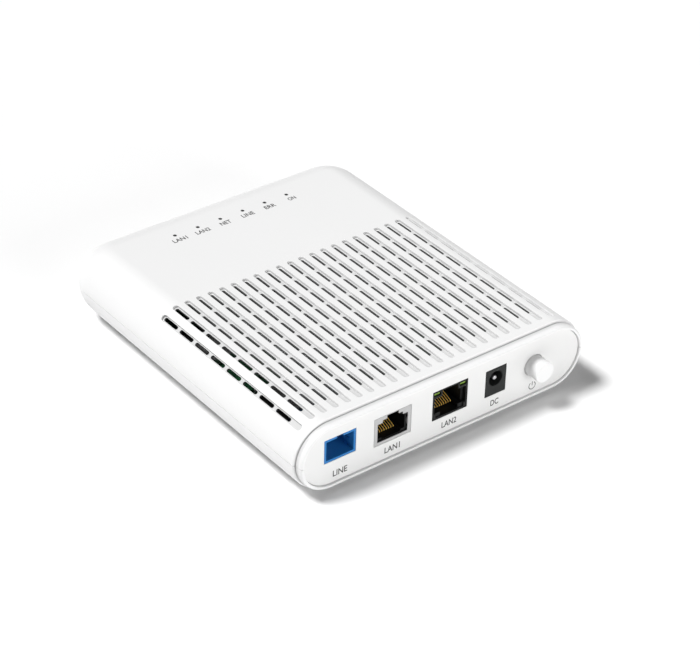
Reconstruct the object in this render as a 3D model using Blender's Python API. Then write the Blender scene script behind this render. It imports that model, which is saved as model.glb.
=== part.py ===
"""Optical network terminal: a slim two-part housing around a board with its jacks and power switch.

Frame: +X to the right as seen from the port end, -Y out of the port end, +Z up.
Origin: middle of the bounding box in plan, at the underside of the rubber feet.
Dimensions below are in millimetres and every mesh is written in metres.
"""
import math

import bmesh
import bpy
from mathutils import Matrix, Vector

MM = 0.001
GAP = 0.3                      # clearance between neighbouring pieces

# housing
BODY_WIDTH = 131.4
BODY_HEIGHT = 28.4
PANEL_TO_FAR_END = 153.0
EDGE_RADIUS = BODY_HEIGHT / 2  # full round along both sides and the far end
CORNER_RADIUS = 16.5           # plan corners at the parting plane
WALL = 1.9
FOOT_STANDOFF = 1.0
PART_GAP = 0.3                 # parting line between the two covers
ARC_STEPS = 6
CORNER_STEPS = 6

# port end
NECK_STEP = 0.9                # the neck is this much smaller than the body all round
NECK_LENGTH = 2.6              # from the panel face back to the body's shoulder
RIM_PROUD = 0.9                # rim in front of the panel face
RIM_WALL = 1.35
LIP_DEPTH = 1.2
PANEL_PLATE = 1.5
PANEL_FLANGE_BACK = 3.0

# power button
BUTTON_RADIUS = 4.2
BUTTON_PROUD = 6.4

# vents in the top
GROOVE_COUNT = 23
GROOVE_PITCH = 5.2
GROOVE_CENTRE_X = -2.4
GROOVE_WIDTH = 2.4
GROOVE_DEPTH = 0.8
GROOVE_NEAR = 6.3              # from the panel face
GROOVE_LENGTH = 85.9
SLOT_COUNT = 8
SLOT_PITCH = 10.0
SLOT_LENGTH = 8.3
SLOT_WIDTH = 1.2
SLOT_FIRST = 0.8               # from the groove's far end

# status lights
LIGHT_COUNT = 6
LIGHT_PITCH = 10.6
LIGHT_DISTANCE = 132.6         # from the panel face
LIGHT_CENTRE_X = -0.5
LIGHT_HOLE_RADIUS = 0.85
LIGHT_PIPE_RADIUS = 0.55

# board
BOARD_TOP = 10.1
BOARD_THICKNESS = 1.6
BOARD_HALF_WIDTH = 56.0
BOARD_FRONT = 3.4
BOARD_BACK = 144.0

PANEL_Y = -(PANEL_TO_FAR_END - BUTTON_PROUD) / 2
BODY_BOTTOM = FOOT_STANDOFF
BODY_TOP = BODY_BOTTOM + BODY_HEIGHT
MID_Z = BODY_BOTTOM + EDGE_RADIUS
FAR_Y = PANEL_Y + PANEL_TO_FAR_END
SHOULDER_Y = PANEL_Y + NECK_LENGTH
COMPONENT_Z = BOARD_TOP + GAP

# x centre of each port and the height of its centre above mid height
PON_X, PON_Z = -47.35, MID_Z + 2.45
FAST_X, FAST_Z = -24.1, MID_Z + 1.2
LAN_X, LAN_Z = 2.0, MID_Z + 1.55
POWER_X, POWER_Z = 23.35, MID_Z + 1.05
BUTTON_X, BUTTON_Z = 41.6, MID_Z + 0.75

PON_SIZE = (13.7, 9.8, 20.0)   # width, height, depth
FAST_SIZE = (16.5, 11.9, 21.0)
LAN_SIZE = (16.0, 12.4, 21.0)
POWER_SIZE = (9.6, 11.5, 14.4)
JACK_PIN_HEIGHT = 6.9          # the round hole above the underside of the power jack

FOOT_RADIUS = 6.0
FOOT_PLACES = [(sx * 44.0, PANEL_Y + d) for d in (14.0, 129.0) for sx in (-1, 1)]
COVER_SCREW_PLACES = [(sx * 47.0, PANEL_Y + d) for d in (50.0, 100.0) for sx in (-1, 1)]
BOARD_SCREW_PLACES = [(sx * 52.0, PANEL_Y + d) for d in (64.0, 112.0) for sx in (-1, 1)]

FINISHES = {
    "white_plastic": ((0.86, 0.86, 0.86), 0.42, 0.0),
    "panel_plastic": ((0.80, 0.80, 0.79), 0.46, 0.0),
    "grey_plastic": ((0.55, 0.56, 0.56), 0.45, 0.0),
    "black_plastic": ((0.018, 0.02, 0.02), 0.40, 0.0),
    "charcoal_plastic": ((0.035, 0.038, 0.036), 0.45, 0.0),
    "blue_plastic": ((0.03, 0.20, 0.52), 0.38, 0.0),
    "light_pipe": ((0.85, 0.87, 0.86), 0.15, 0.0),
    "light_window": ((0.30, 0.50, 0.06), 0.25, 0.0),
    "rubber": ((0.06, 0.06, 0.06), 0.80, 0.0),
    "nickel": ((0.62, 0.62, 0.61), 0.32, 1.0),
    "steel": ((0.55, 0.55, 0.56), 0.35, 1.0),
    "gold": ((0.80, 0.55, 0.18), 0.28, 1.0),
    "aluminium": ((0.72, 0.73, 0.74), 0.38, 1.0),
    "board": ((0.02, 0.12, 0.05), 0.50, 0.0),
    "chip": ((0.03, 0.03, 0.032), 0.50, 0.0),
    "ceramic": ((0.88, 0.87, 0.83), 0.30, 0.0),
    "thermal_pad": ((0.45, 0.55, 0.62), 0.80, 0.0),
    "label": ((0.82, 0.82, 0.80), 0.55, 0.0),
}


# ---------------------------------------------------------------- tools

def clear_scene():
    for obj in list(bpy.data.objects):
        bpy.data.objects.remove(obj, do_unlink=True)


def finish(name):
    """Principled material of the named finish, made once."""
    if name in bpy.data.materials:
        return bpy.data.materials[name]
    colour, roughness, metallic = FINISHES[name]
    material = bpy.data.materials.new(name)
    material.use_nodes = True
    shader = material.node_tree.nodes["Principled BSDF"]
    shader.inputs["Base Color"].default_value = (*colour, 1.0)
    shader.inputs["Roughness"].default_value = roughness
    shader.inputs["Metallic"].default_value = metallic
    return material


def solid(name, points, faces, finish_name="white_plastic"):
    """Object from points in millimetres, with its faces turned outwards."""
    bm = bmesh.new()
    verts = [bm.verts.new(Vector(p) * MM) for p in points]
    for face in faces:
        bm.faces.new([verts[i] for i in face])
    bmesh.ops.recalc_face_normals(bm, faces=bm.faces)
    mesh = bpy.data.meshes.new(name)
    bm.to_mesh(mesh)
    bm.free()
    mesh.materials.append(finish(finish_name))
    obj = bpy.data.objects.new(name, mesh)
    bpy.context.scene.collection.objects.link(obj)
    return obj


def stack(rings):
    """Points and faces of a closed solid through rings that all have the same number of points."""
    size = len(rings[0])
    points = [p for ring in rings for p in ring]
    faces = [list(range(size)), list(range(len(points) - size, len(points)))]
    for level in range(len(rings) - 1):
        low = level * size
        for i in range(size):
            j = (i + 1) % size
            faces.append([low + i, low + j, low + size + j, low + size + i])
    return points, faces


def merge(shapes):
    """Several separate solids as one list of points and one of faces."""
    points, faces = [], []
    for shape_points, shape_faces in shapes:
        start = len(points)
        points += shape_points
        faces += [[start + i for i in face] for face in shape_faces]
    return points, faces


def prism_y(outline, y0, y1):
    """An outline of (x, z) points carried from y0 to y1."""
    return stack([[(x, y, z) for x, z in outline] for y in (y0, y1)])


def prism_z(outline, z0, z1):
    """An outline of (x, y) points carried from z0 to z1."""
    return stack([[(x, y, z) for x, y in outline] for z in (z0, z1)])


def block(low, high):
    (x0, y0, z0), (x1, y1, z1) = low, high
    return prism_z([(x0, y0), (x1, y0), (x1, y1), (x0, y1)], z0, z1)


def circle(centre, radius, steps):
    return [(centre[0] + radius * math.cos(math.tau * i / steps),
             centre[1] + radius * math.sin(math.tau * i / steps)) for i in range(steps)]


def disc_z(centre, radius, z0, z1, steps=16):
    return prism_z(circle(centre, radius, steps), z0, z1)


def turned_y(centre, profile, steps=24):
    """A profile of (y, radius) points turned about a line along Y through centre (x, z)."""
    return stack([[(x, y, z) for x, z in circle(centre, radius, steps)] for y, radius in profile])


def moved(shape, matrix):
    points, faces = shape
    return [tuple(matrix @ Vector(p)) for p in points], faces


def boolean(target, shape, operation):
    """Boolean of target with a hidden helper solid."""
    helper = solid(target.name + "_" + operation.lower(), *shape)
    helper.hide_render = True
    helper.display_type = "WIRE"
    modifier = target.modifiers.new(helper.name, "BOOLEAN")
    modifier.operation = operation
    modifier.object = helper
    modifier.solver = "EXACT"


def cut(target, *shapes):
    boolean(target, merge(shapes), "DIFFERENCE")


def add(target, *shapes):
    for shape in shapes:
        boolean(target, shape, "UNION")


def smooth(obj, angle=35.0):
    obj.data.shade_smooth()
    obj.data.set_sharp_from_angle(angle=math.radians(angle))


# ---------------------------------------------------------------- housing outlines

def plan_outline(inset, front_y):
    """Body outline in plan, drawn in by inset: straight at the port end, rounded at the far end."""
    half = BODY_WIDTH / 2 - inset
    radius = CORNER_RADIUS - inset
    far = FAR_Y - inset
    points = [(-half, front_y), (half, front_y)]
    for start, sx in ((0.0, 1), (90.0, -1)):
        for i in range(CORNER_STEPS + 1):
            angle = math.radians(start + 90.0 * i / CORNER_STEPS)
            points.append((sx * (half - radius) + radius * math.cos(angle),
                           far - radius + radius * math.sin(angle)))
    return points


def half_slab(side, wall_inset, front_y, from_mid):
    """Half of the full-round slab, above (side 1) or below (side -1) the parting plane."""
    radius = EDGE_RADIUS - wall_inset
    first = math.asin(from_mid / radius)
    rings = []
    for i in range(ARC_STEPS + 1):
        angle = first + (math.pi / 2 - first) * i / ARC_STEPS
        inset = wall_inset + radius * (1 - math.cos(angle))
        z = MID_Z + side * radius * math.sin(angle)
        rings.append([(x, y, z) for x, y in plan_outline(inset, front_y)])
    return stack(rings)


def stadium(half_width, half_height, from_mid=None, side=1):
    """Stadium in the XZ plane about mid height, or its half on one side of the parting plane."""
    centre = half_width - half_height
    start = -math.pi / 2 if from_mid is None else math.asin(from_mid / half_height)
    steps = 2 * ARC_STEPS if from_mid is None else ARC_STEPS
    arc = [start + (math.pi / 2 - start) * i / steps for i in range(steps + 1)]
    right = [(centre + half_height * math.cos(a), MID_Z + side * half_height * math.sin(a)) for a in arc]
    left = [(-x, z) for x, z in reversed(right)]
    return right + left


def top_height(x):
    """Height of the top surface at x, and its slope angle about Y."""
    over = max(0.0, abs(x) - (BODY_WIDTH / 2 - EDGE_RADIUS))
    drop = EDGE_RADIUS - math.sqrt(EDGE_RADIUS ** 2 - over ** 2)
    return BODY_TOP - drop, math.copysign(math.asin(over / EDGE_RADIUS), x)


def capsule(half_width, y0, y1, steps=6):
    """Outline in plan of a slot along Y with round ends."""
    points = []
    for start, y in ((180.0, y0 + half_width), (0.0, y1 - half_width)):
        for i in range(steps + 1):
            angle = math.radians(start + 180.0 * i / steps)
            points.append((half_width * math.cos(angle), y + half_width * math.sin(angle)))
    return points


def rj45_outline(x, base, ledge, slot_half, slot_low, wide_half, shoulder, mid_half, mid_top, latch_half, latch_top):
    """Stepped opening of a modular jack; heights are above base."""
    right = [(slot_half, slot_low), (slot_half, ledge), (wide_half, ledge), (wide_half, shoulder),
             (mid_half, shoulder), (mid_half, mid_top), (latch_half, mid_top), (latch_half, latch_top)]
    outline = right + [(-px, pz) for px, pz in reversed(right)]
    return [(x + px, base + pz) for px, pz in outline]


# ---------------------------------------------------------------- housing

def cover(name, side):
    """One half of the housing: shell, neck and rim, hollowed, with the lip that holds the panel."""
    half_gap = PART_GAP / 2
    neck_half = BODY_WIDTH / 2 - NECK_STEP
    neck_high = EDGE_RADIUS - NECK_STEP
    obj = solid(name, *half_slab(side, 0.0, SHOULDER_Y, half_gap))
    neck = stadium(neck_half, neck_high, half_gap, side)
    add(obj, prism_y(neck, PANEL_Y - RIM_PROUD, SHOULDER_Y + 1.0))
    cut(obj, half_slab(side, WALL, PANEL_Y + LIP_DEPTH, 0.0))
    cut(obj, prism_y(stadium(neck_half - RIM_WALL, neck_high - RIM_WALL), PANEL_Y - 3, PANEL_Y + LIP_DEPTH + 1))
    return obj


def lap(inset, z0, z1):
    return prism_z(plan_outline(inset, SHOULDER_Y + 2.0), z0, z1)


def top_cover():
    obj = cover("top_cover", 1)
    cut(obj, lap(0.85, MID_Z - 1.0, MID_Z + 1.3))
    for x, y in COVER_SCREW_PLACES:
        add(obj, disc_z((x, y), 3.4, 8.3, BODY_TOP - WALL + 0.5, 12))
    cut(obj, *[disc_z(place, 1.65, 8.0, 17.0, 12) for place in COVER_SCREW_PLACES])
    grooves, slots = [], []
    near = PANEL_Y + GROOVE_NEAR
    far = near + GROOVE_LENGTH
    for i in range(GROOVE_COUNT):
        x = GROOVE_CENTRE_X + (i - (GROOVE_COUNT - 1) / 2) * GROOVE_PITCH
        z, tilt = top_height(x)
        place = Matrix.Translation((x, 0, z)) @ Matrix.Rotation(tilt, 4, "Y")
        grooves.append(moved(prism_z(capsule(GROOVE_WIDTH / 2, near, far), -GROOVE_DEPTH, 1.5), place))
        for j in range(SLOT_COUNT):
            y1 = far - SLOT_FIRST - j * SLOT_PITCH
            slot = block((-SLOT_WIDTH / 2, y1 - SLOT_LENGTH, -WALL - 0.6), (SLOT_WIDTH / 2, y1, 0.0))
            slots.append(moved(slot, place))
    cut(obj, *grooves)
    cut(obj, *slots)
    cut(obj, *[disc_z(place, LIGHT_HOLE_RADIUS, BODY_TOP - 3, BODY_TOP + 1, 12) for place in light_places()])
    smooth(obj)


def bottom_cover():
    obj = cover("bottom_cover", -1)
    add(obj, lap(1.15, MID_Z - 1.0, MID_Z + 1.0))
    cut(obj, prism_z(plan_outline(WALL, SHOULDER_Y), MID_Z - 1.2, MID_Z + 1.2))
    cut(obj, block((-BODY_WIDTH, SHOULDER_Y + 1.0, MID_Z - 0.15), (BODY_WIDTH, SHOULDER_Y + 3.0, MID_Z + 2.0)))
    for x, y in COVER_SCREW_PLACES:
        add(obj, disc_z((x, y), 4.4, 1.6, 8.0))
    for x, y in BOARD_SCREW_PLACES:
        add(obj, disc_z((x, y), 3.2, 1.6, BOARD_TOP - BOARD_THICKNESS - GAP, 12))
    cut(obj, *[disc_z(p, 3.3, 0.5, 5.6) for p in COVER_SCREW_PLACES])
    cut(obj, *[disc_z(p, 1.7, 5.0, 9.0, 12) for p in COVER_SCREW_PLACES])
    cut(obj, *[disc_z(p, 1.6, 4.0, 9.0, 12) for p in BOARD_SCREW_PLACES])
    cut(obj, *[disc_z(p, FOOT_RADIUS + GAP, 0.5, BODY_BOTTOM + 0.6, 20) for p in FOOT_PLACES])
    cut(obj, block((-22.0, PANEL_Y + 28.0, 0.5), (22.0, PANEL_Y + 54.0, BODY_BOTTOM + 0.5)))
    vents = []
    for bank in (74.0, 104.0):
        for i in range(13):
            x = (i - 6) * GROOVE_PITCH
            y = PANEL_Y + bank
            vents.append(block((x - 0.8, y, 0.5), (x + 0.8, y + 24.0, BODY_BOTTOM + WALL + 1.0)))
    cut(obj, *vents)
    smooth(obj)


def port_panel():
    neck_half = BODY_WIDTH / 2 - NECK_STEP - RIM_WALL - GAP
    neck_high = EDGE_RADIUS - NECK_STEP - RIM_WALL - GAP
    obj = solid("port_panel", *prism_y(stadium(neck_half, neck_high), PANEL_Y, PANEL_Y + PANEL_PLATE + 0.5),
                finish_name="panel_plastic")
    flange = stadium(BODY_WIDTH / 2 - WALL - GAP, EDGE_RADIUS - WALL - GAP)
    add(obj, prism_y(flange, PANEL_Y + PANEL_PLATE, PANEL_Y + PANEL_FLANGE_BACK))
    holes = []
    for x, z, size in ((PON_X, PON_Z, PON_SIZE), (FAST_X, FAST_Z, FAST_SIZE),
                       (LAN_X, LAN_Z, LAN_SIZE), (POWER_X, POWER_Z, POWER_SIZE)):
        half, high = size[0] / 2 + GAP, size[1] / 2 + GAP
        holes.append(block((x - half, PANEL_Y - 1, z - high), (x + half, PANEL_Y + 5, z + high)))
    holes.append(turned_y((BUTTON_X, BUTTON_Z), [(PANEL_Y - 1, BUTTON_RADIUS + GAP),
                                                 (PANEL_Y + 5, BUTTON_RADIUS + GAP)]))
    cut(obj, *holes)


def feet_and_label():
    for i, place in enumerate(FOOT_PLACES, 1):
        foot = solid(f"rubber_foot_{i}", *disc_z(place, FOOT_RADIUS, 0.0, FOOT_STANDOFF + 0.3, 20), "rubber")
        smooth(foot)
    solid("rating_label", *block((-21.7, PANEL_Y + 28.3, BODY_BOTTOM), (21.7, PANEL_Y + 53.7, BODY_BOTTOM + 0.2)),
          "label")


def screw(name, place, head_z0, head_z1, head_radius, shank_z0, shank_z1):
    """Pan-head screw; the shank overlaps the head so that both join into one body."""
    obj = solid(name, *disc_z(place, head_radius, head_z0, head_z1), "steel")
    add(obj, disc_z(place, 1.3, shank_z0, shank_z1, 10))
    smooth(obj)


def screws():
    for i, place in enumerate(COVER_SCREW_PLACES, 1):
        screw(f"cover_screw_{i}", place, 3.5, 5.3, 2.8, 5.0, 16.0)
    for i, place in enumerate(BOARD_SCREW_PLACES, 1):
        screw(f"board_screw_{i}", place, BOARD_TOP + GAP, BOARD_TOP + 2.1, 2.7, 4.6, BOARD_TOP + 0.6)


# ---------------------------------------------------------------- board and what stands on it

def light_places():
    first = LIGHT_CENTRE_X - (LIGHT_COUNT - 1) / 2 * LIGHT_PITCH
    return [(first + i * LIGHT_PITCH, PANEL_Y + LIGHT_DISTANCE) for i in range(LIGHT_COUNT)]


def main_board():
    low = (-BOARD_HALF_WIDTH, PANEL_Y + BOARD_FRONT, BOARD_TOP - BOARD_THICKNESS)
    high = (BOARD_HALF_WIDTH, PANEL_Y + BOARD_BACK, BOARD_TOP)
    obj = solid("main_board", *block(low, high), "board")
    cut(obj, *[disc_z(p, 3.9, 5.0, 12.0) for p in COVER_SCREW_PLACES],
        *[disc_z(p, 1.7, 5.0, 12.0, 12) for p in BOARD_SCREW_PLACES])


def status_lights():
    for i, (x, y) in enumerate(light_places(), 1):
        solid(f"status_led_{i}", *block((x - 0.8, y - 0.4, COMPONENT_Z), (x + 0.8, y + 0.4, COMPONENT_Z + 0.7)),
              "ceramic")
    first, last = light_places()[0][0] - 2.5, light_places()[-1][0] + 2.5
    y = PANEL_Y + LIGHT_DISTANCE
    guide = solid("light_guide", *block((first, y - 1.2, 19.0), (last, y + 1.2, 21.0)), "light_pipe")
    for place in light_places():
        add(guide, disc_z(place, LIGHT_PIPE_RADIUS, COMPONENT_Z + 1.0, BODY_TOP, 10))


def chips():
    def chip(name, x, distance, width, length, height, look="chip"):
        y = PANEL_Y + distance
        solid(name, *block((x - width / 2, y - length / 2, COMPONENT_Z),
                           (x + width / 2, y + length / 2, COMPONENT_Z + height)), look)

    chip("main_processor", -5.0, 75.0, 23.0, 23.0, 2.0)
    chip("memory_chip", 33.0, 68.0, 10.0, 13.0, 1.1)
    chip("flash_chip", 33.0, 84.0, 8.0, 6.0, 1.0)
    chip("ethernet_chip", -24.1, 43.5, 10.0, 10.0, 1.2)
    chip("magnetics_fast", -24.1, 30.0, 15.0, 10.0, 5.6)
    chip("magnetics_lan", 2.0, 30.0, 15.0, 10.0, 5.6)
    chip("crystal", -38.0, 60.0, 5.0, 3.2, 1.1, "steel")
    chip("laser_shield_can", -42.0, 84.0, 16.0, 20.0, 2.6, "nickel")
    base = COMPONENT_Z + 2.0 + GAP
    solid("thermal_pad", *block((-15.5, PANEL_Y + 64.5, base), (5.5, PANEL_Y + 85.5, base + 0.8)), "thermal_pad")
    sink_z = base + 0.8 + GAP
    plate = block((-29.0, PANEL_Y + 52.0, sink_z), (19.0, PANEL_Y + 98.0, sink_z + 2.2))
    sink = solid("heat_sink", *plate, "aluminium")
    fins = []
    for i in range(9):
        x = -28.0 + i * 5.625
        fins.append(block((x, PANEL_Y + 52.5, sink_z + 1.0), (x + 1.2, PANEL_Y + 97.5, sink_z + 9.0)))
    add(sink, merge(fins))
    pins = [(-26.3, PANEL_Y + 100.6), (16.3, PANEL_Y + 49.4)]
    for i, (x, y) in enumerate(pins):
        inward = -1 if i == 0 else 1
        ear = block((x - 3, min(y, y + inward * 4) - 2.6, sink_z), (x + 3, max(y, y + inward * 4) + 2.6, sink_z + 2.2))
        add(sink, ear)
    cut(sink, *[disc_z(p, 1.6, sink_z - 1, sink_z + 4, 10) for p in pins])
    for i, place in enumerate(pins, 1):
        pin = solid(f"heat_sink_pin_{i}", *disc_z(place, 2.4, sink_z + 2.5, sink_z + 4.5, 12), "white_plastic")
        add(pin, disc_z(place, 1.2, COMPONENT_Z, sink_z + 3.0, 10))


def power_parts():
    for i, x in enumerate((35.0, 46.5), 1):
        can = solid(f"capacitor_{i}", *disc_z((x, PANEL_Y + 36.0), 4.0, COMPONENT_Z, COMPONENT_Z + 11.0, 20),
                    "aluminium")
        smooth(can)
    for i, x in enumerate((20.0, 29.0), 1):
        y = PANEL_Y + 22.0
        outline = [(x - 3.6, y - 2.6), (x - 2.6, y - 3.6), (x + 2.6, y - 3.6), (x + 3.6, y - 2.6),
                   (x + 3.6, y + 2.6), (x + 2.6, y + 3.6), (x - 2.6, y + 3.6), (x - 3.6, y + 2.6)]
        solid(f"inductor_{i}", *prism_z(outline, COMPONENT_Z, COMPONENT_Z + 4.0), "chip")


# ---------------------------------------------------------------- jacks

def fibre_port():
    """Square-bodied optical receptacle with its key notch, the ceramic sleeve and the optical module."""
    width, height, depth = PON_SIZE
    low_z = PON_Z - height / 2
    obj = solid("fibre_receptacle", *block((PON_X - width / 2, PANEL_Y, low_z),
                                           (PON_X + width / 2, PANEL_Y + depth, low_z + height)), "blue_plastic")
    add(obj, block((PON_X - 5.5, PANEL_Y + 5.0, COMPONENT_Z), (PON_X + 5.5, PANEL_Y + depth, low_z + 0.5)))
    cut(obj, block((PON_X - 5.75, PANEL_Y - 1, low_z + 1.0), (PON_X + 5.75, PANEL_Y + 17.0, low_z + 8.8)))
    cut(obj, block((PON_X - 1.05, PANEL_Y - 1, low_z + 8.0), (PON_X + 1.05, PANEL_Y + 6.0, low_z + height + 1)))
    middle = (PON_X, low_z + height / 2)
    cut(obj, turned_y(middle, [(PANEL_Y + 16.0, 2.0), (PANEL_Y + 21.0, 2.0)], 16))
    sleeve = solid("ferrule_sleeve", *turned_y(middle, [(PANEL_Y + 8.0, 1.6), (PANEL_Y + 19.7, 1.6)], 16), "ceramic")
    cut(sleeve, turned_y(middle, [(PANEL_Y + 7.0, 1.25), (PANEL_Y + 21.0, 1.25)], 12))
    y0 = PANEL_Y + depth + GAP
    module = solid("optical_module", *block((PON_X - 6.0, y0 + 2.0, COMPONENT_Z),
                                            (PON_X + 6.0, y0 + 20.0, low_z + height - 1.0)), "nickel")
    add(module, turned_y(middle, [(y0, 3.6), (y0 + 3.0, 3.6)], 20))


def contact_comb(name, x, base, depth):
    """Eight spring contacts that slope up towards the back, joined by the comb that carries them."""
    y0 = PANEL_Y + 3.9
    y1 = PANEL_Y + depth - 6.5
    comb = solid(name, *block((x - 4.4, y1 - 0.3, base + 3.2), (x + 4.4, y1 + 1.5, base + 6.6)), "gold")
    rise = (y1 - y0) * math.tan(math.radians(20.5))
    wires = []
    for i in range(8):
        wx = x + (i - 3.5) * 1.02
        side_view = [(y0, base + 2.0), (y1, base + 2.0 + rise), (y1, base + 2.4 + rise), (y0, base + 2.4)]
        wires.append(stack([[(sx, y, z) for y, z in side_view] for sx in (wx - 0.2, wx + 0.2)]))
    add(comb, merge(wires))


def fast_port():
    """Shielded modular jack: formed metal shell, dark insert and contacts."""
    width, height, depth = FAST_SIZE
    base = FAST_Z - height / 2
    shell = solid("fast_jack_shield", *block((FAST_X - width / 2, PANEL_Y, base),
                                             (FAST_X + width / 2, PANEL_Y + depth, base + height)), "nickel")
    cut(shell, block((FAST_X - width / 2 + 0.4, PANEL_Y + 0.5, base + 0.4),
                     (FAST_X + width / 2 - 0.4, PANEL_Y + depth + 1, base + height - 0.4)))
    opening = rj45_outline(FAST_X, base, 1.3, 6.0, 1.25, 6.75, 9.2, 4.5, 10.35, 2.55, 11.65)
    cut(shell, prism_y(opening, PANEL_Y - 1, PANEL_Y + 1))
    insert = solid("fast_jack_insert", *block((FAST_X - 7.5, PANEL_Y + 0.8, base + 0.7),
                                              (FAST_X + 7.5, PANEL_Y + depth - 0.5, base + height - 0.7)),
                   "black_plastic")
    inner = rj45_outline(FAST_X, base, 2.3, 4.3, 1.5, 5.95, 8.9, 4.0, 10.0, 2.6, 10.8)
    cut(insert, prism_y(inner, PANEL_Y - 1, PANEL_Y + depth - 4.0))
    contact_comb("fast_jack_contacts", FAST_X, base, depth)


def lan_port():
    """Unshielded modular jack with two light windows in its top corners."""
    width, height, depth = LAN_SIZE
    base = LAN_Z - height / 2
    body = solid("lan_jack_body", *block((LAN_X - width / 2, PANEL_Y, base),
                                         (LAN_X + width / 2, PANEL_Y + depth, base + height)), "black_plastic")
    inner = rj45_outline(LAN_X, base, 2.5, 4.1, 0.8, 6.1, 9.4, 3.7, 10.4, 3.6, 11.8)
    cut(body, prism_y(inner, PANEL_Y - 1, PANEL_Y + depth - 4.0))
    pockets = []
    for sx in (-1, 1):
        pockets.append(block((LAN_X + sx * 5.9 - 1.75, PANEL_Y - 1, base + 10.2),
                             (LAN_X + sx * 5.9 + 1.75, PANEL_Y + 8.0, base + 12.1)))
    cut(body, *pockets)
    for side, name in ((-1, "lan_jack_light_left"), (1, "lan_jack_light_right")):
        middle = LAN_X + side * 5.9
        solid(name, *block((middle - 1.45, PANEL_Y + 0.6, base + 10.5),
                           (middle + 1.45, PANEL_Y + 7.6, base + 11.6)), "light_window")
    contact_comb("lan_jack_contacts", LAN_X, base, depth)


def power_port():
    """Round power inlet with its centre pin and the leaf that presses on the plug's barrel."""
    width, height, depth = POWER_SIZE
    base = POWER_Z - height / 2
    axis = (POWER_X, base + JACK_PIN_HEIGHT)
    body = solid("power_jack_body", *block((POWER_X - width / 2, PANEL_Y, base),
                                           (POWER_X + width / 2, PANEL_Y + depth, base + height)),
                 "charcoal_plastic")
    cut(body, turned_y(axis, [(PANEL_Y - 1, 3.1), (PANEL_Y + 10.0, 3.1)]))
    cut(body, turned_y(axis, [(PANEL_Y + 9.0, 1.3), (PANEL_Y + depth + 1, 1.3)], 16))
    cut(body, block((POWER_X - 1.3, PANEL_Y + 3.0, base + 2.2), (POWER_X + 1.3, PANEL_Y + depth + 1, base + 4.6)))
    pin = solid("power_jack_pin", *turned_y(axis, [(PANEL_Y + 0.4, 0.55), (PANEL_Y + 0.9, 0.98),
                                                   (PANEL_Y + depth, 0.98)], 16), "steel")
    smooth(pin)
    leaf = [(PANEL_Y + 3.4, base + 2.6), (PANEL_Y + depth + 0.2, base + 2.6), (PANEL_Y + depth + 0.2, base + 3.0),
            (PANEL_Y + 9.0, base + 3.0), (PANEL_Y + 6.2, base + 3.9), (PANEL_Y + 3.4, base + 3.0)]
    solid("power_jack_leaf", *stack([[(x, y, z) for y, z in leaf] for x in (POWER_X - 1.0, POWER_X + 1.0)]), "gold")


# ---------------------------------------------------------------- power button

def power_button():
    """Round cap through the panel, pushed along +Y; it sits on the switch's plunger."""
    axis = (BUTTON_X, BUTTON_Z)
    front = PANEL_Y - BUTTON_PROUD
    profile = [(front, BUTTON_RADIUS - 0.4), (front + 0.4, BUTTON_RADIUS), (PANEL_Y + 3.4, BUTTON_RADIUS),
               (PANEL_Y + 3.4001, 5.2), (PANEL_Y + 4.6, 5.2), (PANEL_Y + 4.6001, 3.4), (PANEL_Y + 8.4, 3.4)]
    cap = solid("power_button", *turned_y(axis, profile, 28), "white_plastic")
    socket = 1.8
    cut(cap, block((BUTTON_X - socket, PANEL_Y + 4.3, BUTTON_Z - socket),
                   (BUTTON_X + socket, PANEL_Y + 10.0, BUTTON_Z + socket)))
    smooth(cap)
    half = 1.5
    solid("switch_plunger", *block((BUTTON_X - half, PANEL_Y + 4.6, BUTTON_Z - half),
                                   (BUTTON_X + half, PANEL_Y + 20.0, BUTTON_Z + half)), "grey_plastic")
    body = solid("switch_body", *block((BUTTON_X - 4.25, PANEL_Y + 14.0, COMPONENT_Z),
                                       (BUTTON_X + 4.25, PANEL_Y + 27.0, BUTTON_Z + 4.0)), "charcoal_plastic")
    cut(body, block((BUTTON_X - socket, PANEL_Y + 13.0, BUTTON_Z - socket),
                    (BUTTON_X + socket, PANEL_Y + 25.0, BUTTON_Z + socket)))
    return_spring()


def return_spring():
    """Open coil round the plunger, from the cap to the switch body."""
    turns, steps, coil, wire = 3, 12, 2.75, 0.22
    y0, y1 = PANEL_Y + 9.0, PANEL_Y + 13.4
    count = turns * steps + 1
    rings = []
    for i in range(count):
        angle = math.tau * i / steps
        y = y0 + (y1 - y0) * i / (count - 1)
        ring = []
        for j in range(5):
            around = math.tau * j / 5
            radius = coil + wire * math.cos(around)
            ring.append((BUTTON_X + radius * math.cos(angle), y + wire * math.sin(around),
                         BUTTON_Z + radius * math.sin(angle)))
        rings.append(ring)
    smooth(solid("return_spring", *stack(rings), "steel"), 60)


def main():
    clear_scene()
    top_cover()
    bottom_cover()
    port_panel()
    feet_and_label()
    screws()
    main_board()
    status_lights()
    chips()
    power_parts()
    fibre_port()
    fast_port()
    lan_port()
    power_port()
    power_button()


main()
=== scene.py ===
"""Optical network terminal: the finished surfaces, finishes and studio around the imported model.

Lengths in this file are in millimetres and become metres when a mesh is made. +X is to the right as seen
from the port end, -Y points out of the port end and +Z is up.
"""

import math

import bmesh
import bpy
import numpy as np
from mathutils import Matrix, Vector


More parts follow.
